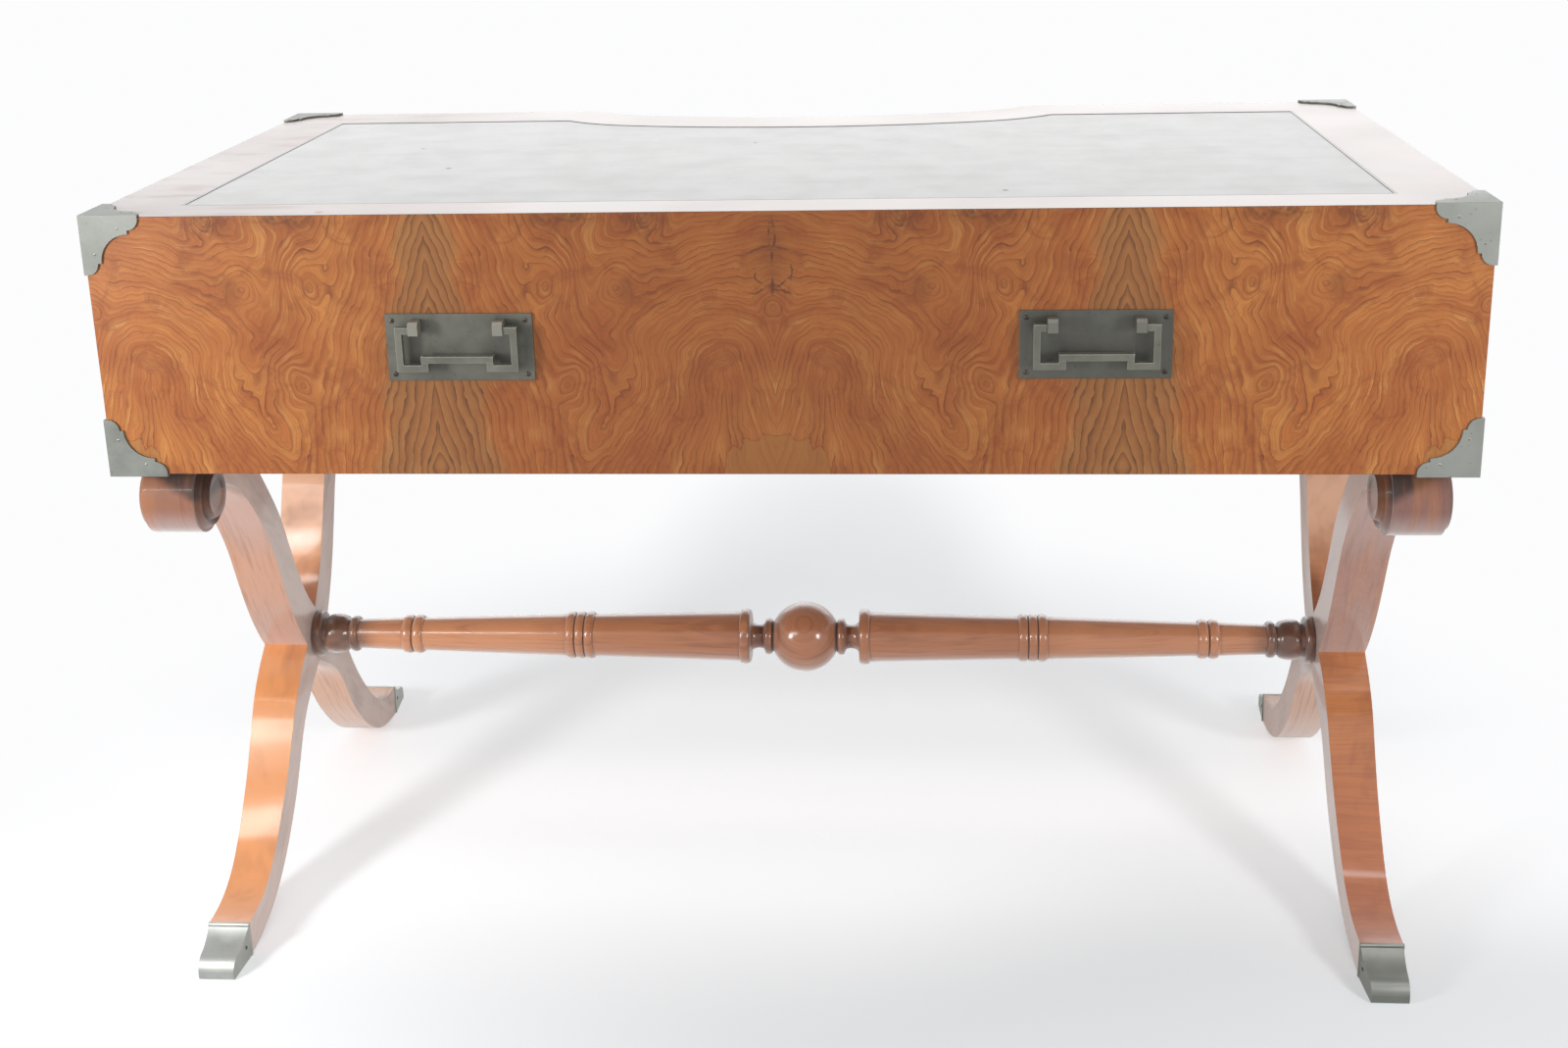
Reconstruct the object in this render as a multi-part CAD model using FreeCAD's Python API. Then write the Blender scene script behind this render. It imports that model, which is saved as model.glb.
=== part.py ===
"""Campaign desk on halved X legs with a turned stretcher, drawers on the sitter's side.

Millimetres. X runs along the desk, Y from the panelled side (-Y) to the sitter's side (+Y),
Z up.  The origin is on the floor under the middle of the desk.
"""
import FreeCAD, Part
import math
import os

V = FreeCAD.Vector

# ---- overall sizes ---------------------------------------------------------------------
HEIGHT = 762.0            # floor to the highest metal, the corner plates on the top
CASE_W = 1216.0           # wooden case, end face to end face
CASE_D = 606.0            # wooden case, panelled face to drawer face
CASE_H = 238.0            # wooden case, underside to writing surface
BOARD_T = 20.0            # top, long panel and end panels, mitred together
FLOOR_T = 18.0            # case floor, which the drawers run on
PLATE_T = 2.0             # sheet of the corner plates

# ---- knee recess in the sitter's side --------------------------------------------------
RECESS_W = 500.0
RECESS_DEPTH = 66.0
# shares of the half width and of the depth
RECESS_SHOULDER = (0.72, 0.64)   # where the middle arc meets the tighter end arc
RECESS_BEND = (0.872, 0.394)     # a point half way along the end arc

# ---- writing leather and its line of dark stringing ------------------------------------
LEATHER_MARGIN_SIDE = 74.0
LEATHER_MARGIN_PANEL = 53.0
LEATHER_MARGIN_SITTER = 72.0
LEATHER_RECESS_GROWTH = 22.0   # how much further the leather's own recess reaches each way
LEATHER_T = 1.6
LEATHER_BED = 2.0              # depth of its bed below the wooden margin
STRING_W = 2.4

# ---- inside the case -------------------------------------------------------------------
PARTITION_T = 24.0
STILE_W = 36.0            # upright beside each outer drawer, next to the end panel's edge
STILE_T = 20.0
GUIDE_H = 20.0            # strip that steers the outer drawer along the end panel

# ---- drawers ---------------------------------------------------------------------------
DRAWER_SIDE_GAP = 1.0
DRAWER_TOP_GAP = 1.0
DRAWER_RUN_GAP = 0.3
DRAWER_FRONT_T = 20.0
DRAWER_SIDE_T = 11.0
DRAWER_BOTTOM_T = 6.0
DRAWER_BOTTOM_UP = 8.0
DRAWER_GROOVE = 5.0
DRAWER_FIT = 0.1
DRAWER_LEN = 520.0        # from the case's drawer face inwards
DRAWER_BOX_DROP = 12.0    # sides stop this far below the front's top edge

# ---- X legs ----------------------------------------------------------------------------
LEG_SET_IN = 43.0         # middle of each X frame from the end of the case
LEG_T = 48.0              # thickness of the leg along X
LEG_FOOT_T = 39.5         # the same at the floor
CROSS_Z = 230.0           # height where the legs are halved together
SCROLL_SET_IN = 45.0      # scroll's middle from the face of the case
SCROLL_R = 35.5
FOOT_SET_IN = 35.0        # where the wood ends in the toe cap, from the face of the case
FOOT_H = 35.0             # height of the wood there
SOLE_LIFT = 0.6           # wood clear of the floor, the cap carries the weight
RUN_OUT = 12.0            # level stretch of the leg's line past the foot, cut away
RUN_IN = 6.0              # level stretch of the same line past the scroll's middle
ARC_TOLERANCE = 0.3       # how closely arcs follow the leg's flowing edges
# centre line of a leg: share of the way out, share of the height, width of the leg there
UPPER_LEG = ((0.065, 0.055, 45.0), (0.175, 0.185, 42.0), (0.29, 0.395, 40.0),
             (0.367, 0.543, 39.0), (0.47, 0.68, 38.0), (0.61, 0.826, 38.0),
             (0.79, 0.917, 38.0))
LOWER_LEG = ((0.065, 0.065, 46.0), (0.2, 0.175, 43.0), (0.295, 0.29, 38.0),
             (0.362, 0.405, 37.0), (0.452, 0.555, 38.5), (0.545, 0.675, 38.0),
             (0.71, 0.835, 35.0), (0.86, 0.905, 34.5))
LEG_TENON = (24.0, 30.0, 13.0)   # stub tenon in the case floor: along X, along Y, up
LEG_TENON_SET_IN = 54.0   # its middle from the face of the case
LEG_TENON_ROOT = 12.0     # how far the tenon's block starts below the case

# ---- turned bosses on the scrolls --------------------------------------------------------
BOSS_OUT_END = 4.6        # height of the plain boss towards the end of the desk
BOSS_BEVEL = 2.5
# boss towards the middle of the desk, from its edge inwards: height, radius
BOSS_PROFILE = ((0.0, 32.5), (5.7, 29.0), (2.6, 24.5), (10.4, 21.0), (10.4, 18.0), (8.2, 12.0),
                (8.2, 0.0))

# ---- toe caps --------------------------------------------------------------------------
CAP_RIM_W = 42.0
CAP_RIM_H = 36.0
CAP_RIM_T = 4.0
CAP_RIM_STAND = 3.0       # rim's height above the start of the ogee
CAP_RIM_BEVEL = 1.0
CAP_BODY_W = 40.4
CAP_TOE_W = 35.2
CAP_LEN = 45.6
CAP_TOE_H = 8.0
CAP_SOLE_BEVEL = 1.5
CAP_KNEE = (14.0, 20.5)   # where the toe's round meets the dip: in from the front, height
CAP_ROUND = (4.3, 16.0)   # a point on the toe's round, the same way
CAP_DIP = (1.5, 2.0)      # sag of the dip below the line between its ends, along Y and Z
CAP_PIN_AT = (12.0, 15.0)   # pin in the cap's side: from its rim, height
CAP_PIN_DEEP = 1.2
TOE_TENON = (30.0, 18.0, 14.0)   # width, height and length of the wood inside the cap
TOE_TENON_UP = 4.0
TOE_FIT = 0.1

# ---- turned stretcher ------------------------------------------------------------------
TENON_R = 11.0
TENON_LEN = 36.0
TENON_FIT = 0.05
BALL_R = 37.5
BALL_NECK_R = 15.0
BALL_STEPS = 4            # turned bands from its neck to its crown
# from the leg to the ball: length, radius at the start, in the middle and at the end;
# the tapers, which have no middle radius, share what is left of the length
TURNING = ((9.5, 22.0, 25.2, 22.0), (3.5, 18.4, None, 18.4), (23.0, 18.4, 21.4, 17.0),
           (2.0, 17.0, None, 15.8), (9.5, 15.8, 19.6, 15.8), (48.5, 15.8, None, 17.6),
           (11.5, 17.6, 21.0, 17.8), (11.5, 17.8, 21.0, 17.8), (158.0, 17.8, None, 22.6),
           (10.2, 22.6, 25.5, 22.7), (10.2, 22.7, 25.5, 22.7), (10.2, 22.7, 25.5, 22.8),
           (158.5, 22.8, None, 26.8), (11.5, 26.8, 29.9, 26.8), (15.5, 18.5, 12.5, 16.4),
           (9.0, 16.4, 19.4, 15.0))

# ---- corner plates ---------------------------------------------------------------------
PLATE_LEG = 54.0
PLATE_TIP = 3.6
PLATE_LOBE = 10.4
PLATE_STEP = 3.5
LOBE_STEPS = 3            # straight pieces along a lobe's quarter circle
HOLLOW_STEPS = 6

# ---- small round pieces ------------------------------------------------------------------
PEG_SIDES = 8             # they are many-sided, to keep their surface light
STUD_R = 2.0              # head of a screw or pin
STUD_H = 0.8

# ---- drop handles ----------------------------------------------------------------------
HANDLE_SHARE = 0.2282     # middle of each pull on the long panel, as a share of its length
HANDLE_PLATE = (131.0, 61.0, 2.4)
HANDLE_BEVEL = 0.5
HANDLE_SCREW_IN = 6.0     # screws from the plate's edges
EAR_X = 37.5
EAR = (9.0, 12.0, 14.5)   # width, height and reach of the ears
EAR_BEVEL = 2.6
EAR_UP = 20.0             # ear's middle above the plate's middle
PIVOT_UP = 18.2
PIVOT_OUT = 10.2          # pivot's distance from the plate's face
PIVOT_R = 2.0
PIVOT_FIT = 0.06
PIVOT_IN_EAR = 7.0
BAIL_BAR = 6.0
BAIL_HALF = 54.0          # half of the bail's outer width
BAIL_DROP = 40.0          # top of the bail to its lowest bar
BAIL_EAR_GAP = 0.4
GRIP_HALF = 32.0
GRIP_RISE = 8.0
GRIP_DEPTH = 8.0
HANDLE_SEAT_CLEAR = 0.3   # flat let into the curved front around the plate

# ---- derived ---------------------------------------------------------------------------
CASE_TOP = HEIGHT - PLATE_T
CASE_BOTTOM = CASE_TOP - CASE_H
FLOOR_TOP = CASE_BOTTOM + FLOOR_T
CEILING = CASE_TOP - BOARD_T
HX = CASE_W / 2
HY = CASE_D / 2
HANDLE_X = HANDLE_SHARE * CASE_W
HANDLE_Z = (CASE_TOP + CASE_BOTTOM) / 2
SCROLL_Y = HY - SCROLL_SET_IN
SCROLL_Z = CASE_BOTTOM - SCROLL_R
FOOT_Y = HY - FOOT_SET_IN
LEG_X = HX - LEG_SET_IN
LEG_IN = LEG_X - LEG_T / 2
LEG_TENON_Y = HY - LEG_TENON_SET_IN
OVER = 1.0                # how far a cutting tool runs past the face it opens
SAME = 0.01               # edges this close to a plane count as lying in it


# ---- small helpers ---------------------------------------------------------------------
def block(x0, x1, y0, y1, z0, z1):
    """Box between two values on each axis."""
    return Part.makeBox(x1 - x0, y1 - y0, z1 - z0, V(x0, y0, z0))


def rod(at, axis, radius, length):
    """Round bar from a point along an axis."""
    return Part.makeCylinder(radius, length, V(*at), V(*axis))


def arc_points(middle, radius, start, end, steps):
    """Points along an arc in the XY plane, its ends given in quarter turns."""
    turns = [start + (end - start) * i / steps for i in range(steps + 1)]
    return [(middle[0] + radius * math.cos(t * math.pi / 2),
             middle[1] + radius * math.sin(t * math.pi / 2), 0) for t in turns]


def peg(at, axis, radius, length):
    """Small round bar from a point along an axis, made with flat sides."""
    corners = arc_points((0, 0), radius, 0, 4, PEG_SIDES)[:-1]
    bar = Part.Face(rect(corners)).extrude(V(0, 0, length))
    bar.Placement = FreeCAD.Placement(V(*at), FreeCAD.Rotation(V(0, 0, 1), V(*axis)))
    return bar


def stud(at, axis):
    """Low head of a screw or pin, standing on a point."""
    return peg(at, axis, STUD_R, STUD_H)


def rect(points):
    """Closed polygon through the points."""
    return Part.makePolygon([V(*p) for p in points] + [V(*points[0])])


def frustum(first, second):
    """Board whose two faces differ in size, so that its edges are mitred."""
    return Part.makeLoft([rect(first), rect(second)], True, True)


def spline(points):
    """Smooth curve through the points."""
    curve = Part.BSplineCurve()
    curve.interpolate([V(*p) for p in points])
    return curve


def turned_edge(a, b):
    """Straight edge of a turned profile; a sloping one is a curve of one span."""
    if a.x == b.x or a.y == b.y:
        return Part.makeLine(a, b)
    slope = Part.BSplineCurve()
    slope.buildFromPolesMultsKnots([a, b], [2, 2], [0, 1], False, 1)
    return slope.toShape()


def lathe(profile):
    """Solid turned about X from points of distance along the axis and radius."""
    points = [V(x, r, 0) for x, r in profile]
    edges = [turned_edge(a, b) for a, b in zip(points, points[1:] + points[:1])]
    return Part.Face(Part.Wire(edges)).revolve(V(0, 0, 0), V(1, 0, 0), 360)


def mirror_x(shape):
    return shape.mirror(V(0, 0, 0), V(1, 0, 0))


def mirror_y(shape):
    return shape.mirror(V(0, 0, 0), V(0, 1, 0))


def mirror_z(shape):
    return shape.mirror(V(0, 0, 0), V(0, 0, 1))


def both_sides(name, shape):
    """Keeps the right-hand piece and its mirror image on the left."""
    keep(name % "right", shape)
    keep(name % "left", mirror_x(shape))


NODES = {}


def keep(name, shape):
    NODES[name] = shape


# ---- case ------------------------------------------------------------------------------
def recess_tool(half, depth, level, z0, z1):
    """Solid that cuts the knee recess out of a board, `level` being the recess's mouth."""
    def at(side, shares):
        return V(side * half * shares[0], level - depth * shares[1], z0)

    mouth = (1.0, 0.0)
    edges = [Part.Arc(at(-1, mouth), at(-1, RECESS_BEND), at(-1, RECESS_SHOULDER)).toShape(),
             Part.Arc(at(-1, RECESS_SHOULDER), V(0, level - depth, z0),
                      at(1, RECESS_SHOULDER)).toShape(),
             Part.Arc(at(1, RECESS_SHOULDER), at(1, RECESS_BEND), at(1, mouth)).toShape()]
    beyond = HY + OVER
    corners = [at(1, mouth), V(half, beyond, z0), V(-half, beyond, z0), at(-1, mouth)]
    edges += [Part.makeLine(a, b) for a, b in zip(corners, corners[1:])]
    return Part.Face(Part.Wire(edges)).extrude(V(0, 0, z1 - z0))


def writing_field(grow, z0, z1):
    """Outline of the leather, grown on every side, between two heights."""
    x = HX - LEATHER_MARGIN_SIDE + grow
    level = HY - LEATHER_MARGIN_SITTER + grow
    field = block(-x, x, -HY + LEATHER_MARGIN_PANEL - grow, level, z0, z1)
    half = RECESS_W / 2 + LEATHER_RECESS_GROWTH - grow
    return field.cut(recess_tool(half, RECESS_DEPTH, level, z0 - OVER, z1 + OVER))


def make_top():
    t = BOARD_T
    board = frustum(
        [(-HX, -HY, CASE_TOP), (HX, -HY, CASE_TOP), (HX, HY, CASE_TOP), (-HX, HY, CASE_TOP)],
        [(-HX + t, -HY + t, CEILING), (HX - t, -HY + t, CEILING), (HX - t, HY, CEILING),
         (-HX + t, HY, CEILING)])
    board = board.cut(recess_tool(RECESS_W / 2, RECESS_DEPTH, HY,
                                  CEILING - OVER, CASE_TOP + OVER))
    bed = CASE_TOP - LEATHER_BED
    board = board.cut(writing_field(STRING_W, bed, CASE_TOP + OVER))
    keep("top_board", board)
    keep("writing_leather", writing_field(0, bed, bed + LEATHER_T))
    ring = writing_field(STRING_W, bed, CASE_TOP)
    keep("dark_string", ring.cut(writing_field(0, bed - OVER, CASE_TOP + OVER)))


def make_case():
    t, zb, zt, zc = BOARD_T, CASE_BOTTOM, CASE_TOP, CEILING
    keep("long_panel", frustum(
        [(-HX, -HY, zb), (HX, -HY, zb), (HX, -HY, zt), (-HX, -HY, zt)],
        [(-HX + t, -HY + t, zb), (HX - t, -HY + t, zb), (HX - t, -HY + t, zc),
         (-HX + t, -HY + t, zc)]))
    both_sides("end_panel_%s", frustum(
        [(HX, -HY, zb), (HX, HY, zb), (HX, HY, zt), (HX, -HY, zt)],
        [(HX - t, -HY + t, zb), (HX - t, HY, zb), (HX - t, HY, zc), (HX - t, -HY + t, zc)]))

    floor = block(-HX + t, HX - t, -HY + t, HY, zb, FLOOR_TOP)
    floor = floor.cut(recess_tool(RECESS_W / 2, RECESS_DEPTH, HY, zb - OVER, FLOOR_TOP + OVER))
    for sx in (-1, 1):
        for sy in (-1, 1):
            floor = floor.cut(leg_tenon(sx * LEG_X, sy * LEG_TENON_Y, TENON_FIT))
    keep("case_floor", floor)

    xp, xs = RECESS_W / 2, HX - t - STILE_W
    both_sides("partition_%s", block(xp, xp + PARTITION_T, -HY + t, HY, FLOOR_TOP, zc))
    both_sides("stile_%s", block(xs, HX - t, HY - STILE_T, HY, FLOOR_TOP, zc))
    both_sides("drawer_guide_%s", block(xs, HX - t, -HY + t, HY - STILE_T,
                                        FLOOR_TOP, FLOOR_TOP + GUIDE_H))


# ---- drawers ---------------------------------------------------------------------------
def drawer_box(x0, x1, y_front, length, zt):
    """Two sides and a back, with the groove that the bottom slides into."""
    z0 = FLOOR_TOP + DRAWER_RUN_GAP
    y_back = y_front - length
    s = DRAWER_SIDE_T
    box = block(x0, x1, y_back, y_front, z0, zt)
    box = box.cut(block(x0 + s, x1 - s, y_back + s, y_front + OVER, z0 - OVER, zt + OVER))
    g, f = DRAWER_GROOVE, DRAWER_FIT
    zg = z0 + DRAWER_BOTTOM_UP
    box = box.cut(block(x0 + s - g, x1 - s + g, y_back + s - g, y_front + OVER,
                        zg - f, zg + DRAWER_BOTTOM_T + f))
    bottom = block(x0 + s - g + f, x1 - s + g - f, y_back + s - g + f, y_front - f,
                   zg, zg + DRAWER_BOTTOM_T)
    return box, bottom


def drawer_pieces(front, box, bottom, x, y):
    """The pieces of one drawer with the pull on its front."""
    plate, bail = handle(x, y, 1)
    return {"front": front, "box": box, "bottom": bottom, "handle_plate": plate,
            "bail": bail, "handle_screws": handle_screws(x, y, 1)}


def make_side_drawers():
    x0 = RECESS_W / 2 + PARTITION_T + DRAWER_SIDE_GAP
    x1 = HX - BOARD_T - STILE_W - DRAWER_SIDE_GAP
    z0, z1 = FLOOR_TOP + DRAWER_RUN_GAP, CEILING - DRAWER_TOP_GAP
    y_in = HY - DRAWER_FRONT_T
    front = block(x0, x1, y_in, HY, z0, z1)
    box, bottom = drawer_box(x0, x1, y_in, DRAWER_LEN - DRAWER_FRONT_T, z1 - DRAWER_BOX_DROP)
    for piece, shape in drawer_pieces(front, box, bottom, (x0 + x1) / 2, HY).items():
        both_sides("drawer_%%s_%s" % piece, shape)


def make_centre_drawer():
    """Drawer in the recess: its front is bowed inwards like the edge of the top."""
    xh = RECESS_W / 2 - DRAWER_SIDE_GAP
    z0, z1 = FLOOR_TOP + DRAWER_RUN_GAP, CEILING - DRAWER_TOP_GAP
    outer = recess_tool(RECESS_W / 2, RECESS_DEPTH, HY, z0, z1)
    inner = recess_tool(RECESS_W / 2, RECESS_DEPTH, HY - DRAWER_FRONT_T, z0, z1)
    front = inner.cut(outer).common(block(-xh, xh, -HY, HY, z0, z1))
    seat_y = HY - RECESS_DEPTH
    hw, hh = HANDLE_PLATE[0] / 2 + HANDLE_SEAT_CLEAR, HANDLE_PLATE[1] / 2 + HANDLE_SEAT_CLEAR
    front = front.cut(block(-hw, hw, seat_y, HY, HANDLE_Z - hh, HANDLE_Z + hh))
    box, bottom = drawer_box(-xh, xh, HY, DRAWER_LEN, z1 - DRAWER_BOX_DROP)
    box, bottom = box.cut(inner), bottom.cut(inner)
    for piece, shape in drawer_pieces(front, box, bottom, 0, seat_y).items():
        keep("drawer_centre_%s" % piece, shape)


# ---- drop handles ----------------------------------------------------------------------
def place_handle(shape, x, y, facing):
    """Moves a handle piece, made facing -Y at the origin, to its face of the desk."""
    shape = shape.copy()
    if facing > 0:
        shape.rotate(V(0, 0, 0), V(0, 0, 1), 180)
    shape.translate(V(x, y, HANDLE_Z))
    return shape


def handle_screws(x, y, facing):
    """The heads of the four screws of a handle plate."""
    w, h, t = HANDLE_PLATE
    px, pz = w / 2 - HANDLE_SCREW_IN, h / 2 - HANDLE_SCREW_IN
    heads = [stud((sx * px, -t, sz * pz), (0, -1, 0)) for sx in (-1, 1) for sz in (-1, 1)]
    return place_handle(Part.makeCompound(heads), x, y, facing)


def handle(x, y, facing):
    """Back plate with two faceted ears, and the bail that hangs between them."""
    w, h, t = HANDLE_PLATE
    plate = block(-w / 2, w / 2, -t, 0, -h / 2, h / 2)
    plate = plate.makeChamfer(HANDLE_BEVEL, [e for e in plate.Edges if e.BoundBox.YMax < SAME - t])
    ew, eh, reach = EAR
    pivot_y = -t - PIVOT_OUT
    pivot_x = EAR_X + ew / 2 - PIVOT_IN_EAR
    for side in (-1, 1):
        cx = side * EAR_X
        ear = block(cx - ew / 2, cx + ew / 2, -t - reach, -t, EAR_UP - eh / 2, EAR_UP + eh / 2)
        ear = ear.makeChamfer(EAR_BEVEL, [e for e in ear.Edges if e.CenterOfMass.z > EAR_UP
                                          and e.BoundBox.YMax < SAME - t - reach])
        hole = peg((side * (pivot_x - PIVOT_FIT), pivot_y, PIVOT_UP), (side, 0, 0),
                   (PIVOT_R + PIVOT_FIT) / math.cos(math.pi / PEG_SIDES), ew)
        plate = plate.fuse(ear).cut(hole)
    return (place_handle(plate.removeSplitter(), x, y, facing),
            place_handle(bail_shape(pivot_y, pivot_x), x, y, facing))


def bail_shape(pivot_y, pivot_x):
    """Square bar bent to a box bail with a raised grip, on two short pivots."""
    b = BAIL_BAR
    top = PIVOT_UP + b / 2
    low = top - BAIL_DROP
    y0, y1 = pivot_y - b / 2, pivot_y + b / 2
    arm = EAR_X + EAR[0] / 2 + BAIL_EAR_GAP
    g0, g1 = pivot_y - GRIP_DEPTH / 2, pivot_y + GRIP_DEPTH / 2
    right = block(arm, BAIL_HALF, y0, y1, top - b, top).fuse([
        block(BAIL_HALF - b, BAIL_HALF, y0, y1, low, top),
        block(GRIP_HALF - b, BAIL_HALF, y0, y1, low, low + b),
        block(GRIP_HALF - b, GRIP_HALF, y0, y1, low, low + GRIP_RISE + b),
        block(0, GRIP_HALF, g0, g1, low + GRIP_RISE, low + GRIP_RISE + b),
        peg((pivot_x, pivot_y, PIVOT_UP), (1, 0, 0), PIVOT_R, arm + b / 2 - pivot_x)])
    return right.fuse(mirror_x(right)).removeSplitter()


def make_panel_handles():
    screws = []
    for side, x in (("left", -HANDLE_X), ("right", HANDLE_X)):
        plate, bail = handle(x, -HY, -1)
        keep("panel_handle_plate_%s" % side, plate)
        keep("panel_bail_%s" % side, bail)
        screws += handle_screws(x, -HY, -1).Solids
    keep("panel_handle_screws", Part.makeCompound(screws))


# ---- X legs ----------------------------------------------------------------------------
def leg_stations():
    """Centre line of a leg from the scroll at -Y down to the foot at +Y, with its widths."""
    rise = CASE_BOTTOM - CROSS_Z
    top_w = UPPER_LEG[-1][2]
    points = [(-SCROLL_Y - RUN_IN, CASE_BOTTOM - top_w / 2, top_w)]
    points += [(-u * SCROLL_Y, CROSS_Z + v * rise, w) for u, v, w in UPPER_LEG[::-1]]
    points += [(u * FOOT_Y, CROSS_Z * (1 - v), w) for u, v, w in LOWER_LEG]
    points += [(FOOT_Y + dy, SOLE_LIFT + FOOT_H / 2, FOOT_H) for dy in (0, RUN_OUT)]
    return points


def leg_outline():
    """Face of the S-shaped leg in the YZ plane at X = 0, its long edges made of arcs."""
    stations = leg_stations()
    line = spline([(0, y, z) for y, z, _ in stations])
    under, over = [], []
    for y, z, w in stations:
        d = line.tangent(line.parameter(V(0, y, z)))[0]
        n = V(0, -d.z, d.y) * (w / 2)
        over.append((0, y + n.y, z + n.z))
        under.append((0, y - n.y, z - n.z))
    edges = [arc.toShape() for side in (over, under)
             for arc in spline(side).toBiArcs(ARC_TOLERANCE)]
    edges += [Part.makeLine(V(*over[end]), V(*under[end])) for end in (0, -1)]
    return Part.Face(Part.Wire(Part.__sortEdges__(edges)))


def scroll():
    """Rolled end of a leg, with a moulded and dished boss inside and a plain one outside."""
    roll = rod((-LEG_T / 2, 0, 0), (1, 0, 0), SCROLL_R, LEG_T)
    inner = mirror_x(lathe(((0, 0),) + BOSS_PROFILE))
    inner.translate(V(-LEG_T / 2, 0, 0))
    edge_r = BOSS_PROFILE[0][1]
    outer = lathe([(0, 0), (0, edge_r), (BOSS_OUT_END, edge_r - BOSS_BEVEL), (BOSS_OUT_END, 0)])
    outer.translate(V(LEG_T / 2, 0, 0))
    roll = roll.fuse([inner, outer])
    roll.translate(V(0, -SCROLL_Y, SCROLL_Z))
    return roll


def toe_tenon(grow):
    """Block of the leg's toe inside its cap; grown by a fit it is the cap's pocket."""
    w, tall, length = TOE_TENON
    return block(-w / 2 - grow, w / 2 + grow, FOOT_Y - OVER, FOOT_Y + length + grow,
                 TOE_TENON_UP - grow, TOE_TENON_UP + tall + grow)


def leg_tenon(x, y, grow):
    """Stub tenon of a scroll in the case floor; grown by a fit it is the mortise."""
    w, d, tall = LEG_TENON
    return block(x - w / 2 - grow, x + w / 2 + grow, y - d / 2 - grow, y + d / 2 + grow,
                 CASE_BOTTOM - LEG_TENON_ROOT, CASE_BOTTOM + tall + grow)


def full_leg():
    """One leg before halving, its middle plane at X = 0, scroll at -Y and foot at +Y."""
    h, foot = LEG_T / 2, LEG_FOOT_T / 2
    body = leg_outline().extrude(V(LEG_T, 0, 0))
    body.translate(V(-h, 0, 0))
    body = body.common(block(-h, h, -HY, FOOT_Y, SOLE_LIFT, CASE_BOTTOM))
    taper = rect([(-foot, -HY, 0), (foot, -HY, 0), (h, -HY, CROSS_Z), (h, -HY, HEIGHT),
                  (-h, -HY, HEIGHT), (-h, -HY, CROSS_Z)])
    body = body.common(Part.Face(taper).extrude(V(0, CASE_D, 0)))
    body = body.fuse([scroll(), toe_tenon(0), leg_tenon(0, -LEG_TENON_Y, 0)])
    return body.removeSplitter()


def make_legs():
    """Two legs halved together on each side, with the mortise of the stretcher."""
    panel = full_leg()
    sitter = mirror_y(panel)
    h, reach = LEG_T / 2, LEG_T
    halving = block(0, h, -reach, reach, CROSS_Z - reach, CROSS_Z + reach)
    mortise = rod((-h - OVER, 0, CROSS_Z), (1, 0, 0), TENON_R + TENON_FIT,
                  TENON_LEN + OVER + TENON_FIT)
    halved = {"panel": panel.cut(sitter.common(halving)),
              "sitter": sitter.cut(panel.common(mirror_x(halving)))}
    seat = plate_seat()
    for name, leg in halved.items():
        leg = leg.cut(mortise)
        leg.translate(V(LEG_X, 0, 0))
        both_sides("leg_%%s_%s_scroll" % name, leg.cut(seat))


def plate_seat():
    """Shallow seats in the scrolls' crests for the corner plates under the case."""
    gap = DRAWER_RUN_GAP
    x0 = HX + PLATE_T - PLATE_LEG - gap
    y0 = HY + PLATE_T - PLATE_LEG - gap
    one = block(x0, HX + PLATE_T, y0, HY + PLATE_T, CASE_BOTTOM - PLATE_T - gap, CASE_BOTTOM)
    return Part.makeCompound([one, mirror_y(one)])


# ---- toe caps --------------------------------------------------------------------------
def toe_profile():
    """Cast toe with an ogee from its rim down to a short upright front."""
    y0, y1 = FOOT_Y, FOOT_Y + CAP_LEN
    top = CAP_RIM_H - CAP_RIM_STAND
    knee = V(0, y1 - CAP_KNEE[0], CAP_KNEE[1])
    start = V(0, y0 + CAP_RIM_T, top)
    toe = V(0, y1, CAP_TOE_H)
    dip = (knee + start) * 0.5 - V(0, *CAP_DIP)
    corners = [start, V(0, y0, top), V(0, y0, 0), V(0, y1 - CAP_SOLE_BEVEL, 0),
               V(0, y1, CAP_SOLE_BEVEL), toe]
    edges = [Part.makeLine(a, b) for a, b in zip(corners, corners[1:])]
    edges += [Part.Arc(toe, V(0, y1 - CAP_ROUND[0], CAP_ROUND[1]), knee).toShape(),
              Part.Arc(knee, dip, start).toShape()]
    solid = Part.Face(Part.Wire(edges)).extrude(V(CAP_BODY_W, 0, 0))
    solid.translate(V(-CAP_BODY_W / 2, 0, 0))
    return solid


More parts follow.
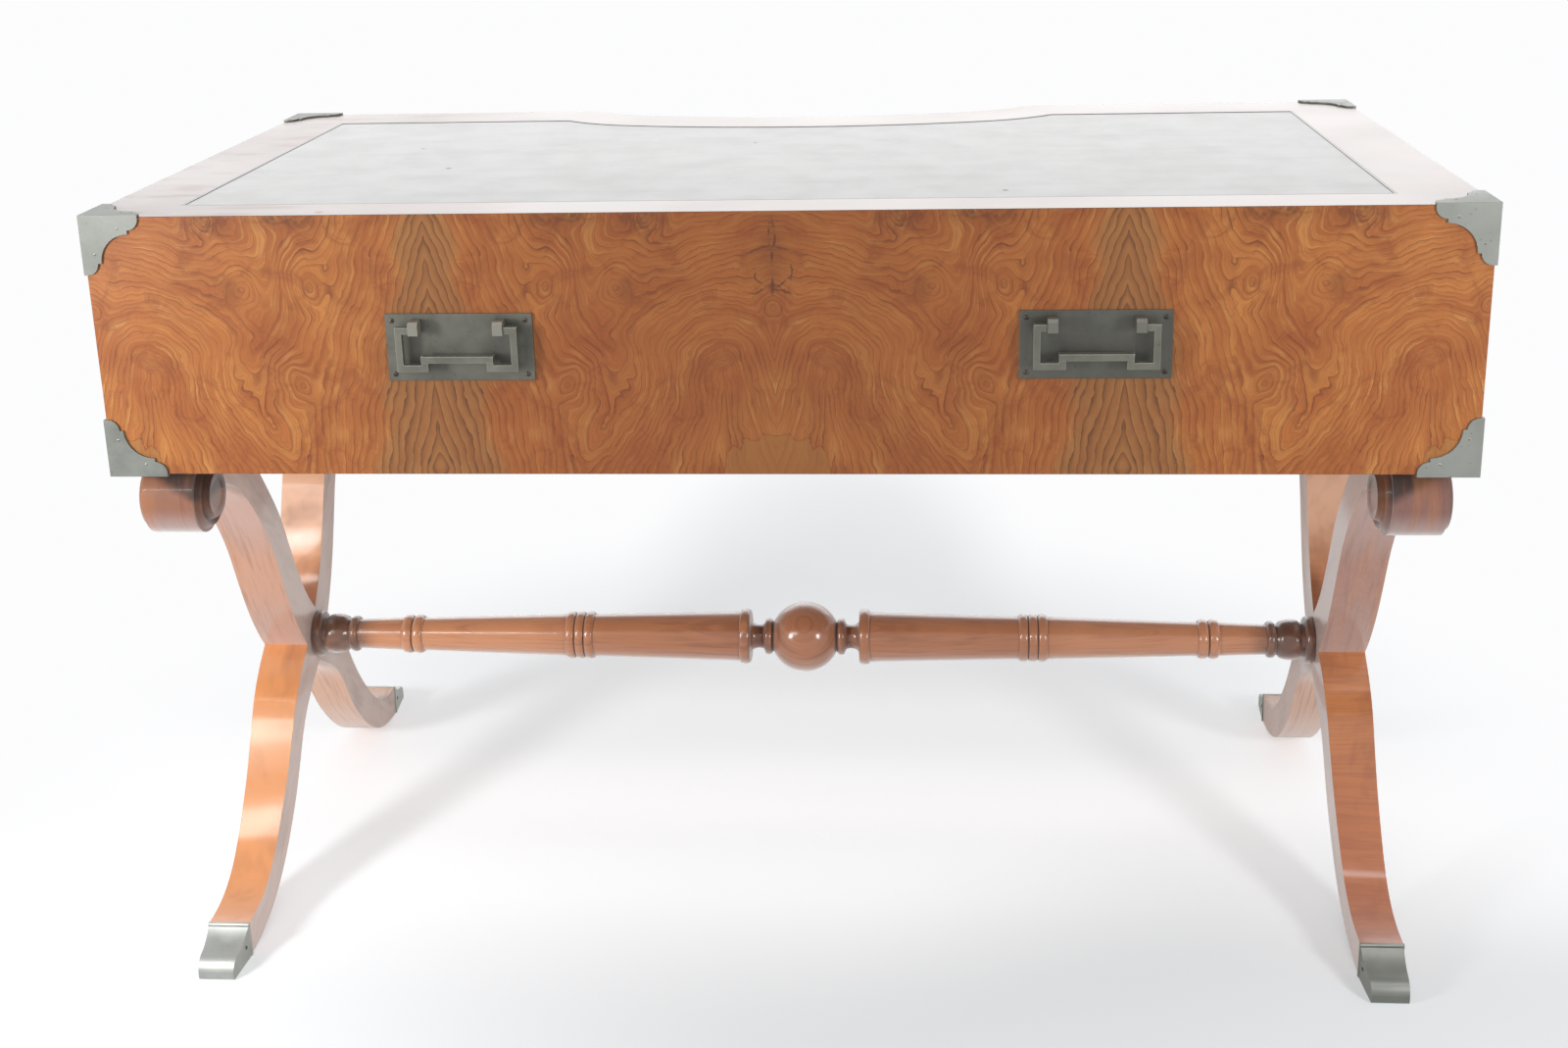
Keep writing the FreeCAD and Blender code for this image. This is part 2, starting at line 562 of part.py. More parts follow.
def make_toe_caps():
    a, b = CAP_BODY_W / 2, CAP_TOE_W / 2
    y0, y1 = FOOT_Y + CAP_RIM_T, FOOT_Y + CAP_LEN
    plan = rect([(-a, FOOT_Y, 0), (a, FOOT_Y, 0), (a, y0, 0), (b, y1, 0), (-b, y1, 0), (-a, y0, 0)])
    cap = toe_profile().common(Part.Face(plan).extrude(V(0, 0, CAP_RIM_H)))
    rim = block(-CAP_RIM_W / 2, CAP_RIM_W / 2, FOOT_Y, y0, 0, CAP_RIM_H)
    rim = rim.makeChamfer(CAP_RIM_BEVEL, [e for e in rim.Edges if e.BoundBox.YMin > y0 - SAME
                                          and e.BoundBox.ZMax > SAME])
    pin_y, pin_z = FOOT_Y + CAP_PIN_AT[0], CAP_PIN_AT[1]
    side_x = a - CAP_PIN_DEEP * (a - b) / CAP_PIN_AT[0] - STUD_H / 2
    pins = [stud((sx * side_x, pin_y, pin_z), (sx, 0, 0)) for sx in (-1, 1)]
    cap = cap.fuse(rim).removeSplitter().cut([toe_tenon(TOE_FIT)] + pins)
    mirrored = [mirror_y(piece) for piece in [cap] + pins]
    all_pins = []
    for side, x in (("right", LEG_X), ("left", -LEG_X)):
        for face, pieces in (("sitter", [cap] + pins), ("panel", mirrored)):
            placed = [piece.translated(V(x, 0, 0)) for piece in pieces]
            keep("toe_cap_%s_%s" % (side, face), placed[0])
            all_pins += placed[1:]
    keep("toe_cap_pins", Part.makeCompound(all_pins))


# ---- stretcher -------------------------------------------------------------------------
def make_stretcher():
    """Turned rail with a ball in its middle, its round tenons in the two X frames."""
    neck_x = math.sqrt(BALL_R ** 2 - BALL_NECK_R ** 2)
    spare = LEG_IN - neck_x - sum(length for length, *_ in TURNING)
    tapers = sum(1 for _, _, middle, _ in TURNING if middle is None)
    profile = [(LEG_IN + TENON_LEN, 0), (LEG_IN + TENON_LEN, TENON_R), (LEG_IN, TENON_R)]
    x = LEG_IN
    for length, start, middle, end in TURNING:
        if middle is None:
            length += spare / tapers
        if profile[-1][1] != start:
            profile.append((x, start))
        if middle is not None:
            profile.append((x - length / 2, middle))
        x -= length
        profile.append((x, end))
    neck = math.asin(BALL_NECK_R / BALL_R) / (math.pi / 2)
    ball = [(bx, br) for bx, br, _ in arc_points((0, 0), BALL_R, neck, 1, BALL_STEPS)]
    half = lathe(profile[:-1] + ball[:-1] + [(0, BALL_R), (0, 0)])
    rail = half.fuse(mirror_x(half)).removeSplitter()
    rail.translate(V(0, 0, CROSS_Z))
    keep("stretcher", rail)


# ---- corner plates ---------------------------------------------------------------------
def leaf_of_plate():
    """One leaf of a corner plate in the XY plane, its corner at the origin."""
    lobe_at = PLATE_LEG - PLATE_LOBE
    step = PLATE_TIP + PLATE_LOBE + PLATE_STEP
    lobe = arc_points((lobe_at, PLATE_TIP), PLATE_LOBE, 0, 1, LOBE_STEPS)
    hollow = arc_points((lobe_at, lobe_at), lobe_at - step, 3, 2, HOLLOW_STEPS)
    far_lobe = [(v, u, 0) for u, v, _ in lobe[::-1]]
    outline = [(0, 0, 0), (PLATE_LEG, 0, 0)] + lobe + hollow + far_lobe + [(0, PLATE_LEG, 0)]
    return Part.Face(rect(outline)).extrude(V(0, 0, PLATE_T))


def make_corner_plates():
    """Three leaves round each corner of the case, four corners above and four below."""
    leaves = []
    for turn in (0, 120, 240):
        leaf = leaf_of_plate()
        leaf.rotate(V(0, 0, 0), V(1, 1, 1), turn)
        leaves.append(leaf)
    plate = leaves[0].fuse(leaves[1:]).removeSplitter()
    plate.translate(V(-HX - PLATE_T, -HY - PLATE_T, CASE_BOTTOM - PLATE_T))
    four = [plate, mirror_x(plate), mirror_y(plate), mirror_x(mirror_y(plate))]
    lower = Part.makeCompound(four)
    upper = mirror_z(lower)
    upper.translate(V(0, 0, CASE_TOP + CASE_BOTTOM))
    keep("corner_plates_lower", lower)
    keep("corner_plates_upper", upper)


def main():
    make_top()
    make_case()
    make_side_drawers()
    make_centre_drawer()
    make_panel_handles()
    make_legs()
    make_toe_caps()
    make_stretcher()
    make_corner_plates()
    os.makedirs("parts", exist_ok=True)
    for name, shape in NODES.items():
        if not shape.isValid() or not shape.Solids:
            print("INVALID", name, len(shape.Solids))
        shape.exportStep("parts/%s.step" % name)
    print(len(NODES), "nodes,", sum(len(s.Solids) for s in NODES.values()), "solids")


main()
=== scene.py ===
# %% [markdown]
# # A campaign desk on X legs
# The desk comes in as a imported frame: every board, leg and fitting is already the right size and
# in the right place, in metres, with the floor at z = 0 and the long panel facing -Y. This lesson
# only adds looks. Shapes that the frame gives well keep their mesh and get worked edges through
# modifiers; shapes that need rounder forms are turned or cut again in code and ride on the body
# that they belong to.

# %% Load the frame
import math

import bmesh
import bpy
from mathutils import Matrix, Vector


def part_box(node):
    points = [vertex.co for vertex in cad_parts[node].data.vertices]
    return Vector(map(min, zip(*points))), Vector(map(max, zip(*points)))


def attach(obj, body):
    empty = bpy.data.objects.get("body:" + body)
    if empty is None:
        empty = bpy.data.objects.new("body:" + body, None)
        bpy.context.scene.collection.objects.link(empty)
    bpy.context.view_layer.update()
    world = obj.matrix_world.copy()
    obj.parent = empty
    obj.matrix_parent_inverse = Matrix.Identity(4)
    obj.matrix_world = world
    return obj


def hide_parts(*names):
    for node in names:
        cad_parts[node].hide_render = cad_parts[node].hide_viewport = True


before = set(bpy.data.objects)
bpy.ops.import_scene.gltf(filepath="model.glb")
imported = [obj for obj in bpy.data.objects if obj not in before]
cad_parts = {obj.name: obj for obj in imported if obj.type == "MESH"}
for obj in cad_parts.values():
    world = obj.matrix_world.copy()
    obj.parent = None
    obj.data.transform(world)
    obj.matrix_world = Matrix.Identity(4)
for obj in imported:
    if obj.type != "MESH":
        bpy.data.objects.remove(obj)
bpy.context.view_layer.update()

# %% [markdown]
# ## Camera
# A lens is easiest to place by three angles: how far it is turned, tipped down and rolled. Its
# axes follow from them, and the matrix is built from those axes, so nothing has to be aimed by
# hand. The picture is cropped a little off the lens's middle, which a small shift gives.

# %% Camera
IMAGE_W, IMAGE_H = 1600, 1069                      # size of the picture, in pixels
FOCAL, LENS_MIDDLE = 1921.2, (807.8, 380)          # of the lens, in the same pixels
TURN, TIP, ROLL = -0.0748, 0.2816, -0.0241         # in radians
STAND = (0.1329, -1.8803, 1.0738)                  # where the lens stands, in metres
SENSOR = 36                                        # width of the sensor, in millimetres

ahead = Vector((math.sin(TURN) * math.cos(TIP), math.cos(TURN) * math.cos(TIP), -math.sin(TIP)))
level = Vector((math.cos(TURN), -math.sin(TURN), 0))
upward = level.cross(ahead)
right = level * math.cos(ROLL) + upward * math.sin(ROLL)
up = upward * math.cos(ROLL) - level * math.sin(ROLL)
lens = bpy.data.cameras.new("view")
lens.sensor_width = SENSOR
lens.lens = FOCAL * SENSOR / IMAGE_W
lens.shift_x = (IMAGE_W / 2 - LENS_MIDDLE[0]) / IMAGE_W
lens.shift_y = (LENS_MIDDLE[1] - IMAGE_H / 2) / IMAGE_W
camera = bpy.data.objects.new("view", lens)
camera.matrix_world = Matrix.Translation(STAND) @ Matrix((right, up, -ahead)).transposed().to_4x4()
bpy.context.scene.collection.objects.link(camera)
bpy.context.scene.camera = camera
bpy.context.scene.view_settings.view_transform = "Standard"
print("camera at", tuple(round(v, 3) for v in camera.location), "lens", round(lens.lens, 2))

# %% [markdown]
# ## Writing finishes as sums
# A procedural finish is arithmetic on positions: distances, waves, masks. Wiring Math nodes by
# hand hides the formula, so one small class wraps a socket and adds the node when sockets are
# added, subtracted or multiplied. Colours and vectors have their own nodes, because Math works on
# one number.

# %% Sockets with arithmetic
class Wire:
    """A socket of a node tree; arithmetic on it adds Math nodes."""

    def __init__(self, tree, socket):
        self.tree, self.socket = tree, socket

    def add(self, kind, settings=None, inputs=None, out=0):
        """Adds a node: its settings first, then the values or links of its sockets."""
        node = self.tree.nodes.new(kind)
        for key, value in (settings or {}).items():
            setattr(node, key, value)
        for key, value in (inputs or {}).items():
            if isinstance(value, Wire):
                self.tree.links.new(value.socket, node.inputs[key])
            else:
                node.inputs[key].default_value = value
        return Wire(self.tree, node.outputs[out] if node.outputs else None)

    def other(self, name):
        """Another output of the same node."""
        return Wire(self.tree, self.socket.node.outputs[name])

    def math(self, operation, *values):
        """A Math node on this wire and other values."""
        return self.add("ShaderNodeMath", {"operation": operation},
                        dict(enumerate((self,) + values)))

    def __add__(self, b): return self.math("ADD", b)
    def __radd__(self, a): return self.math("ADD", a)
    def __sub__(self, b): return self.math("SUBTRACT", b)
    def __mul__(self, b): return self.math("MULTIPLY", b)
    def __rmul__(self, a): return self.math("MULTIPLY", a)
    def __pow__(self, b): return self.math("POWER", b)
    def __abs__(self): return self.math("ABSOLUTE")
    def __rsub__(self, a):
        return self.add("ShaderNodeMath", {"operation": "SUBTRACT"}, {0: a, 1: self})

    def step(self, low, high, first=0.0, last=1.0):
        """Goes smoothly from first to last while this wire goes from low to high."""
        return self.add("ShaderNodeMapRange", {"interpolation_type": "SMOOTHSTEP"},
                        {0: self, 1: low, 2: high, 3: first, 4: last})

    def vector(self, operation, *values):
        """A Vector Math node on this wire and other values."""
        return self.add("ShaderNodeVectorMath", {"operation": operation},
                        dict(enumerate((self,) + values)))

    def length(self):
        """Length of a vector."""
        return self.vector("LENGTH").other("Value")

    def axes(self):
        """The three numbers of a vector."""
        x = self.add("ShaderNodeSeparateXYZ", None, {0: self})
        return x, x.other(1), x.other(2)

    def joined(self, x, y, z=0.0):
        """A vector made of three numbers, in this wire's tree."""
        return self.add("ShaderNodeCombineXYZ", None, {0: x, 1: y, 2: z})

    def blend(self, first, second):
        """Colour between two others, with this wire as the share of the second."""
        return self.add("ShaderNodeMix", {"data_type": "RGBA"}, {0: self, 6: first, 7: second}, 2)

    def noise(self, scale, detail=2.0, rough=0.5, distortion=0.0):
        """Cloudy noise over this vector, from 0 to 1, about 0.5."""
        return self.add("ShaderNodeTexNoise", None, {
            "Vector": self, "Scale": scale, "Detail": detail, "Roughness": rough,
            "Distortion": distortion})


def paint(red, green, blue):
    """A colour as a maker reads it off a chart (0 to 255), in the linear numbers nodes use."""
    linear = [v / 12.92 if v <= 0.04045 else ((v + 0.055) / 1.055) ** 2.4
              for v in (red / 255, green / 255, blue / 255)]
    return (*linear, 1)


print("paint(190, 123, 78) =", tuple(round(v, 3) for v in paint(190, 123, 78)))

# %% [markdown]
# Every finish starts from the place on the desk and ends in one surface shader. The desk's own
# pieces have their origin at the frame's, so object coordinates are the place on the desk, also
# when a drawer is pulled out. A number that is the same all over a piece is set on the shader
# itself.

# %% Start and end of a finish
def begin(name):
    """A new empty finish; gives the material and the place on the desk as a vector wire."""
    material = bpy.data.materials.new(name)
    material.use_nodes = True
    material.node_tree.nodes.clear()
    start = Wire(material.node_tree, None)
    return material, start.add("ShaderNodeTexCoord", None, None, "Object")


def close(place, colour, roughness, metallic=0.0, height=None, relief=0.0, coat=0.0,
          coat_roughness=0.1, specular=0.5, sheen=0.0):
    """Feeds the surface shader and ends the finish; relief is the depth of height, in metres."""
    sockets = {"Base Color": colour, "Roughness": roughness, "Metallic": metallic,
               "Coat Weight": coat, "Coat Roughness": coat_roughness,
               "Specular IOR Level": specular, "Sheen Weight": sheen}
    if height is not None:
        sockets["Normal"] = place.add("ShaderNodeBump", None, {
            "Strength": 1.0, "Distance": relief, "Height": height})
    shader = place.add("ShaderNodeBsdfPrincipled", None, sockets)
    shader.add("ShaderNodeOutputMaterial", None, {"Surface": shader})


print("finishes end in", bpy.types.ShaderNodeBsdfPrincipled.bl_rna.name)

# %% [markdown]
# ## Figured veneer
# The case is faced in one flitch of swirling, book-matched veneer: the figure on one side of a
# seam is the mirror image of the other. Its dark lines are growth rings cut nearly along their
# surface, so they run round each eye like contour lines round a hill. That is how they are drawn
# here: the distance to the nearest eye, with soft passes between eyes, and a ring wherever that
# distance reaches another whole step.

# %% Distances and drifts
PASS_WIDTH = 0.02                                        # of a pass between two eyes, in metres


def eye(here, across, up, at, squeeze):
    """Distance to the middle of a swirl, squeezed across and up."""
    return here.joined((across - at[0]) * squeeze[0], (up - at[1]) * squeeze[1]).length()


def nearest(first, *others):
    """Smallest of several distances, with soft passes where they meet."""
    for other in others:
        first = first.math("SMOOTH_MIN", other, PASS_WIDTH)
    return first


def warped(flat, scale, reach, detail=1.0):
    """Two drifts of the position, across and up, of about the given reach in metres."""
    x, z, _ = flat.add("ShaderNodeTexNoise", None, {"Vector": flat, "Scale": scale,
                                                    "Detail": detail}, "Color").axes()
    return (x - 0.5) * (reach * 4), (z - 0.5) * (reach * 4)


SEAM = 0.3035                                            # from the middle seam to a quarter seam
UPPER_EYE, LOWER_EYE = (0.128, 0.169), (0.180, 0.080)    # from the middle seam, above the edge
# eyes of the figure: place, squeeze, and how late its rings meet those of its neighbours
SWIRLS = ((UPPER_EYE, (1.0, 0.85), 0.092), (LOWER_EYE, (1.0, 0.9), 0.062),
          ((0.207, 0.180), (1.1, 0.8), 0.066), ((0.0, 0.150), (1.3, 1.0), 0.056),
          ((0.111, 0.236), (1.2, 1.0), 0.124), ((0.172, 0.240), (1.1, 1.0), 0.102))
print("swirls in a quarter of the veneer:", len(SWIRLS))

# %% [markdown]
# Folding the position first gives the book-matched seams. Drifts of three sizes then bend it; the
# larger two fade out across a seam, where both halves have to meet. Beside the middle seam the
# rings stand as nested arches, and at the quarter seams lies a band of olive-brown wood with
# nearly upright lines.

# %% Figure of the veneer
def figure(place, along, height):
    """Folded place, ring distance, olive band and pale lump of the veneer, above its edge."""
    fold = abs(along).math("PINGPONG", SEAM)
    flat = place.joined(fold, height)
    slow_x, slow_z = warped(flat, 9, 0.012)
    mid_x, mid_z = warped(flat, 28, 0.0044, 2)
    fine_x, fine_z = warped(flat, 75, 0.0012, 4)
    calm = fold.step(0.0, 0.12)
    q = fold + slow_x * calm + mid_x * fold.step(0.0, 0.03) + fine_x
    h = height + slow_z * (calm * 0.7 + 0.3) + mid_z + fine_z
    beside = SEAM - fold
    drift = (slow_x * 0.6 + mid_x * 0.6) * beside.step(0.0, 0.03) + fine_x * 0.6
    upright = (beside + drift) * 0.66 + (h * h * 0.52 + h * 0.05 - 0.003)
    # the arches' feet run on as nearly upright lines, and spread a little on their way down
    above = (h - 0.098).math("MAXIMUM", 0.0)
    flare = h.math("MINIMUM", 0.1) * 4.5 + 0.66
    arches = place.joined((q - 0.046 + slow_z * 0.5) * flare, above).length() + h * 0.06
    rings = nearest(arches, upright,
                    *[eye(place, q, h, at, squeeze) + late for at, squeeze, late in SWIRLS],
                    eye(place, SEAM - beside - drift, h, (SEAM, 0.014), (1.0, 0.7)) - 0.008)
    band = (beside + mid_z * 2 + slow_z * 0.4 + height * 0.16).step(0.050, 0.066, 1, 0)
    lump = eye(place, q, h, (0.006, 0.002), (0.9, 1.1)) + (flat.noise(70, 3) - 0.5) * 0.022
    return fold, flat, rings, band, lump.step(0.0355, 0.038, 1, 0)


print("figure repeats every", 2 * SEAM, "m")

# %% [markdown]
# The colour is laid on in the order in which wood gets it: broad and narrow ribbons that follow
# the rings, clouds that don't, the olive band, then the dark lines. Noise that changes fast from
# ring to ring and slowly along them makes the ribbons.

# %% Colours of the figure
RINGS_PER_M, HAIRS_PER_M = 205, 640                      # dark lines, and the fine ones between


def ring_wood(place, run, rise, parts):
    """Colour of the sound wood, and its dark lines."""
    fold, flat, rings, band, lump = parts
    ribbon = place.joined(rings * 170, fold * 20, rise * 20).noise(1.0, 3, 0.6)
    broad = place.joined(rings * 40, fold * 9, rise * 9).noise(1.0, 2)
    share = (rings * RINGS_PER_M + ribbon * 1.3).math("FRACT")
    strength = place.joined(rings * 70, fold * 34, rise * 34).noise(1.0, 1).step(0.3, 0.66, 0.2, 1)
    line = share ** 6 * (strength * (1 - band) + band)
    hair = (rings * HAIRS_PER_M + ribbon * 3.5).math("FRACT") ** 3 * 0.3
    fibre = place.joined(rings * 900, fold * 60, rise * 60).noise(1.0, 2)
    # painted highlight: bright golden streaks that shine along the rings
    painted_gleam = flat.noise(20, 2).step(0.42, 0.66) * place.joined(
        rings * 330, fold * 16, rise * 16).noise(1.0, 2).step(0.48, 0.64)
    wood = broad.step(0.34, 0.66).blend(paint(170, 98, 46), paint(190, 118, 58))
    wood = (ribbon.step(0.42, 0.7) * 0.6).blend(wood, paint(206, 140, 72))
    wood = (flat.noise(13, 3).step(0.42, 0.7) * 0.6).blend(wood, paint(150, 78, 36))
    wood = (place.noise(3.2, 1).step(0.4, 0.7) * 0.3).blend(wood, paint(168, 92, 42))
    wood = (fibre.step(0.5, 0.75) * 0.25).blend(wood, paint(136, 72, 32))
    wood = (share * 0.2 + hair).blend(wood, paint(128, 64, 30))
    wood = (painted_gleam * 0.38).blend(wood, paint(222, 164, 92))
    wood = (band * 0.7).blend(wood, share.blend(paint(156, 110, 64), paint(134, 90, 50)))
    wood = (lump * 0.6).blend(wood, paint(166, 116, 62))
    # painted shade: a face is darker in its middle than at its ends, lit less by the side lamps
    wood = abs(run).step(0.02, 0.5, 0.36, 0.0).blend(wood, paint(116, 60, 30))
    dark = band.blend(paint(100, 46, 20), paint(74, 44, 26))
    wood = (line * (0.8 - lump * 0.5)).blend(wood, dark)
    wood = (lump * (1 - lump) * 1.8).blend(wood, dark)
    # redder, darker smears where the wood is burled, most of them off the olive band
    smear = flat.noise(30, 5, 0.68, 1.2).step(0.5, 0.66) * (0.42 - band * 0.25 - lump * 0.2)
    return smear.blend(wood, paint(124, 60, 30)), line


print("a ring every", round(1000 / RINGS_PER_M, 1), "mm")

# %% [markdown]
# Burled wood is never sound all over. It has smudged knots under the upper edge, pin knots in the
# lower eye, and along the middle seam of the long panel short cracks have opened and filled with
# old polish. A crack is the thin place where a bent distance crosses zero.

# %% Knots and cracks
def knotted(place, wood, fold, flat, rise):
    """Adds smudged knots and pin knots."""
    smudge = nearest(eye(place, fold, rise, (0.111, 0.232), (0.7, 1.3)),
                     eye(place, fold, rise, (0.182, 0.236), (0.4, 1.5))).step(0.002, 0.026, 1, 0)
    clots = flat.noise(110, 3, 0.6, 0.6).step(0.46, 0.62)
    wood = (smudge * (clots * 0.45 + 0.25)).blend(wood, paint(92, 48, 26))
    pins = flat.add("ShaderNodeTexVoronoi", None, {
        "Vector": flat, "Scale": 130, "Randomness": 1.0}, "Distance").step(0.12, 0.3, 1, 0)
    pins = pins * eye(place, fold, rise, LOWER_EYE, (1.0, 1.2)).step(0.007, 0.013, 1, 0)
    middles = eye(place, fold, rise, UPPER_EYE, (1.0, 0.8)).step(0.002, 0.014, 0.3, 0)
    return (pins * 0.7).math("MAXIMUM", middles).blend(wood, paint(84, 42, 24))


def cracked_seam(place, wood, side, rise):
    """Adds cracks down the middle seam and across it, and the darker wood round them."""
    jag_x, jag_z = warped(place, 38, 0.0065, 6)
    down = abs(side + jag_x * 0.55 - 0.001).step(0.0003, 0.0017, 1, 0) \
        * rise.step(0.160, 0.170) * rise.step(0.226, 0.238, 1, 0)
    hooks = abs(place.joined(side + jag_x - 0.004, rise + jag_z * 0.7 - 0.188).length() - 0.015)
    cross = (abs(rise + jag_z * 0.5 + side * side * 9 - 0.206)
             .math("MINIMUM", abs(rise + jag_z + side * 0.25 - 0.172))
             .math("MINIMUM", hooks + rise.step(0.190, 0.200, 0, 0.01))
             ).step(0.0002, 0.0015, 1, 0) * side.step(0.014, 0.032, 0.9, 0)
    cracks = down.math("MAXIMUM", cross) * place.noise(120, 3).step(0.36, 0.5, 0.15, 1)
    wood = eye(place, side, rise, (0.0, 0.202), (1.2, 0.5)).step(0.002, 0.026, 0.5, 0).blend(
        wood, paint(112, 60, 30))
    return (cracks * 0.8).blend(wood, paint(78, 42, 28))


print("pin knots round", LOWER_EYE, "and a dark middle at", UPPER_EYE)

# %% [markdown]
# All faces share this wood. Each picks the axes that its figure follows, and where along it the
# middle seam lies. A thin coat of polish over a slight relief of pores and dark lines gives the
# soft shine.

# %% Veneered faces
def veneer(name, along, height, cracked=False):
    """Finish of a veneered face; along and height pick the axes that its figure follows and
    where it starts on them, and cracked gives it the cracks in its middle seam."""
    material, place = begin(name)
    axis = dict(zip("xyz", place.axes()))
    run = axis[along[0]] + along[1]
    rise = axis[height[0]] + height[1]
    parts = figure(place, run, rise)
    wood, line = ring_wood(place, run, rise, parts)
    wood = knotted(place, wood, parts[0], parts[1], rise)
    if cracked:
        wood = cracked_seam(place, wood, abs(run), rise)
    grain = place.noise(420, 2)
    wood = (grain.step(0.55, 0.8) * 0.12).blend(wood, paint(110, 60, 32))
    close(place, wood, grain * 0.1 + 0.32, height=grain - line * 0.6, relief=0.00006,
          coat=0.15, coat_roughness=0.16, specular=0.35)
    return material


panel_veneer = veneer("burl_veneer_panel", ("x", 0.0), ("z", -0.522), cracked=True)
end_veneer = veneer("burl_veneer_end", ("y", 0.12), ("z", -0.522))
drawer_veneer = veneer("burl_veneer_drawers", ("x", 0.06), ("z", -0.512))
print("veneer nodes:", len(panel_veneer.node_tree.nodes))

# %% [markdown]
# ## The top
# The writing surface is dark leather in a veneered border, with a thin line of dark stringing.
# Both are polished enough to mirror a pale room at a low angle, so their own colour only shows
# from above. The border's left end has lost some of its polish and shows streaks and scuffs.

# %% Top border
material, place = begin("burl_veneer_top")
x, y, _ = place.axes()
rings = figure(place, x, y + 0.9)[2]
line = (rings * 150 + place.noise(40, 2)).math("FRACT") ** 6
wood = place.noise(12, 3).step(0.3, 0.7).blend(paint(94, 62, 42), paint(114, 76, 52))
wood = (line * 0.5).blend(wood, paint(84, 46, 28))
scratch = place.joined(x * 9, y * 160).noise(1.0, 2).step(0.66, 0.8)
wood = (scratch * 0.2).blend(wood, paint(70, 44, 32))
# scuffs on the left border: a long one by the leather and a spot near the front corner
scuffs = eye(place, x, y, (-0.490, -0.148), (0.5, 3.0)).math(
    "MINIMUM", eye(place, x, y, (-0.398, -0.290), (2.0, 2.0)))
scuffs = (scuffs + (place.noise(160, 3) - 0.5) * 0.01).step(0.004, 0.01, 0.8, 0)
streaks = place.joined(x * 12, y * 55).noise(1.0, 3, 0.6).step(0.5, 0.68)
streaks = streaks * x.step(-0.5, -0.2, 1, 0)
wood = (streaks * 0.4).blend(wood, paint(134, 88, 58))
wood = scuffs.blend(wood, paint(128, 74, 44))
polish = x.step(-0.62, -0.2).math("MAXIMUM", y.step(-0.3, 0.0, 0.0, 0.4)) * 0.24 + 0.16
close(place, wood, place.noise(5, 2).step(0.3, 0.7, 0.3, 0.34) + streaks * 0.06 + scuffs * 0.2,
      height=place.noise(300, 2), relief=0.00003, coat=polish, coat_roughness=0.3)
top_veneer = material
print("border nodes:", len(top_veneer.node_tree.nodes))

# %% Stringing and leather
material, place = begin("dark_stringing")
colour = place.noise(60, 2).step(0.3, 0.7).blend(paint(44, 30, 24), paint(66, 46, 36))
close(place, colour, place.noise(200, 2) * 0.1 + 0.28, coat=0.2, coat_roughness=0.3)
dark_line = material

# nicks in the leather: place and size, in metres
NICKS = ((-0.336, -0.073, 0.0032), (0.203, -0.217, 0.0030), (-0.393, 0.049, 0.0022),
         (-0.045, 0.061, 0.0022))
material, place = begin("leather")
x, y, _ = place.axes()
mottle = place.noise(22, 5, 0.7)
hide = mottle.step(0.25, 0.75).blend(paint(50, 44, 38), paint(66, 57, 48))
hide = (place.noise(3, 2).step(0.45, 0.75) * 0.5).blend(hide, paint(76, 66, 54))
streak = place.joined(x * 4, y * 40).noise(1.0, 3).step(0.45, 0.7)
marks = nearest(*[place.joined(x - mx, y - my).length() * (0.002 / size)
                  for mx, my, size in NICKS])
nick = (marks + (place.noise(500, 2) - 0.5) * 0.002).step(0.0012, 0.0022, 1, 0)
hide = (nick * 0.9).blend(hide, paint(30, 22, 18))
pebble = place.add("ShaderNodeTexVoronoi", {"feature": "SMOOTH_F1"}, {
    "Vector": place, "Scale": 900, "Smoothness": 0.4, "Randomness": 1.0}, "Distance")
worn = mottle.step(0.35, 0.7, 0.295, 0.33) + streak * 0.012 + nick * 0.3
close(place, hide, worn, height=pebble * 0.5 - nick, relief=0.00006, coat=0.2, coat_roughness=0.3)
leather = material
print("leather nodes:", len(leather.node_tree.nodes))

# %% [markdown]
# ## Painted light and ageing on the legs
# Legs and stretcher are a plain reddish-brown wood, and most of what one sees on them is
# ageing and painted light and shade. The left frame and the legs behind are painted brighter, as
# lit by the lamps; the flat sides are painted paler with dust and the white room's low sheen,
# the undersides paler as the white floor mirrored in them, and the scrolls darker with the shade
# under the case, its shadow in the corner and shade on the bosses. All of it is laid over the
# wood by place and by the direction that a face looks in.

# %% Painted shade on the scrolls
SCROLL_AT = (0.258, 0.4865)        # middle of a scroll: distance from the desk's middle, height
SCROLL_R = 0.036                   # just beyond a scroll's rim
BOSS_R, GROOVE_R = 0.034, 0.0262   # rim of the scroll's boss, and the groove on it
LEG_OUTER, LEG_INNER = 0.589, 0.541
CASE_LOW = 0.522                   # underside of the case


def scroll_painted_shade(place, wood, roll, scroll, nx):
    """Adds painted shade: the case's shadow in the corner between scroll and case, and shade
    on the wall and in the groove of the boss.
    """
    x, _, z = place.axes()
    inward = LEG_OUTER - abs(x)
    ragged_edge = (place.noise(60, 3) - 0.5) * 0.006
    # painted shadow of the case, reaching lower towards the inner side of the leg
    darkened = (z - (CASE_LOW - 0.002) + inward * 0.55 + ragged_edge).step(-0.007, 0.004)
    wood = (scroll * darkened * 0.92).blend(wood, paint(54, 44, 42))
    # painted shade on the rim wall of the boss
    wall = roll.step(BOSS_R - 0.0002, BOSS_R + 0.0004, 1, 0) * abs(nx).step(0.3, 0.7, 0.7, 0)
    wood = wall.blend(wood, paint(78, 64, 60))
    # painted shade in the groove of the boss, on the inner face of the leg
    groove = abs(roll - GROOVE_R).step(0.0008, 0.0034, 0.6, 0.0) \
        * abs(x).step(LEG_INNER - 0.0005, LEG_INNER, 1, 0)
    return groove.blend(wood, paint(66, 50, 46))


print("legs stand from", LEG_INNER, "to", LEG_OUTER, "m off the middle")

# %% Painted light and ageing on the legs
def painted_left_light(place, wood, most=0.45):
    """Painted light: the left frame is painted a bright orange, as the stronger lamp on the left
    lights it; the right one keeps its brown.
    """
    return place.axes()[0].step(-0.62, 0.25, most, 0.15).blend(wood, paint(246, 164, 100))


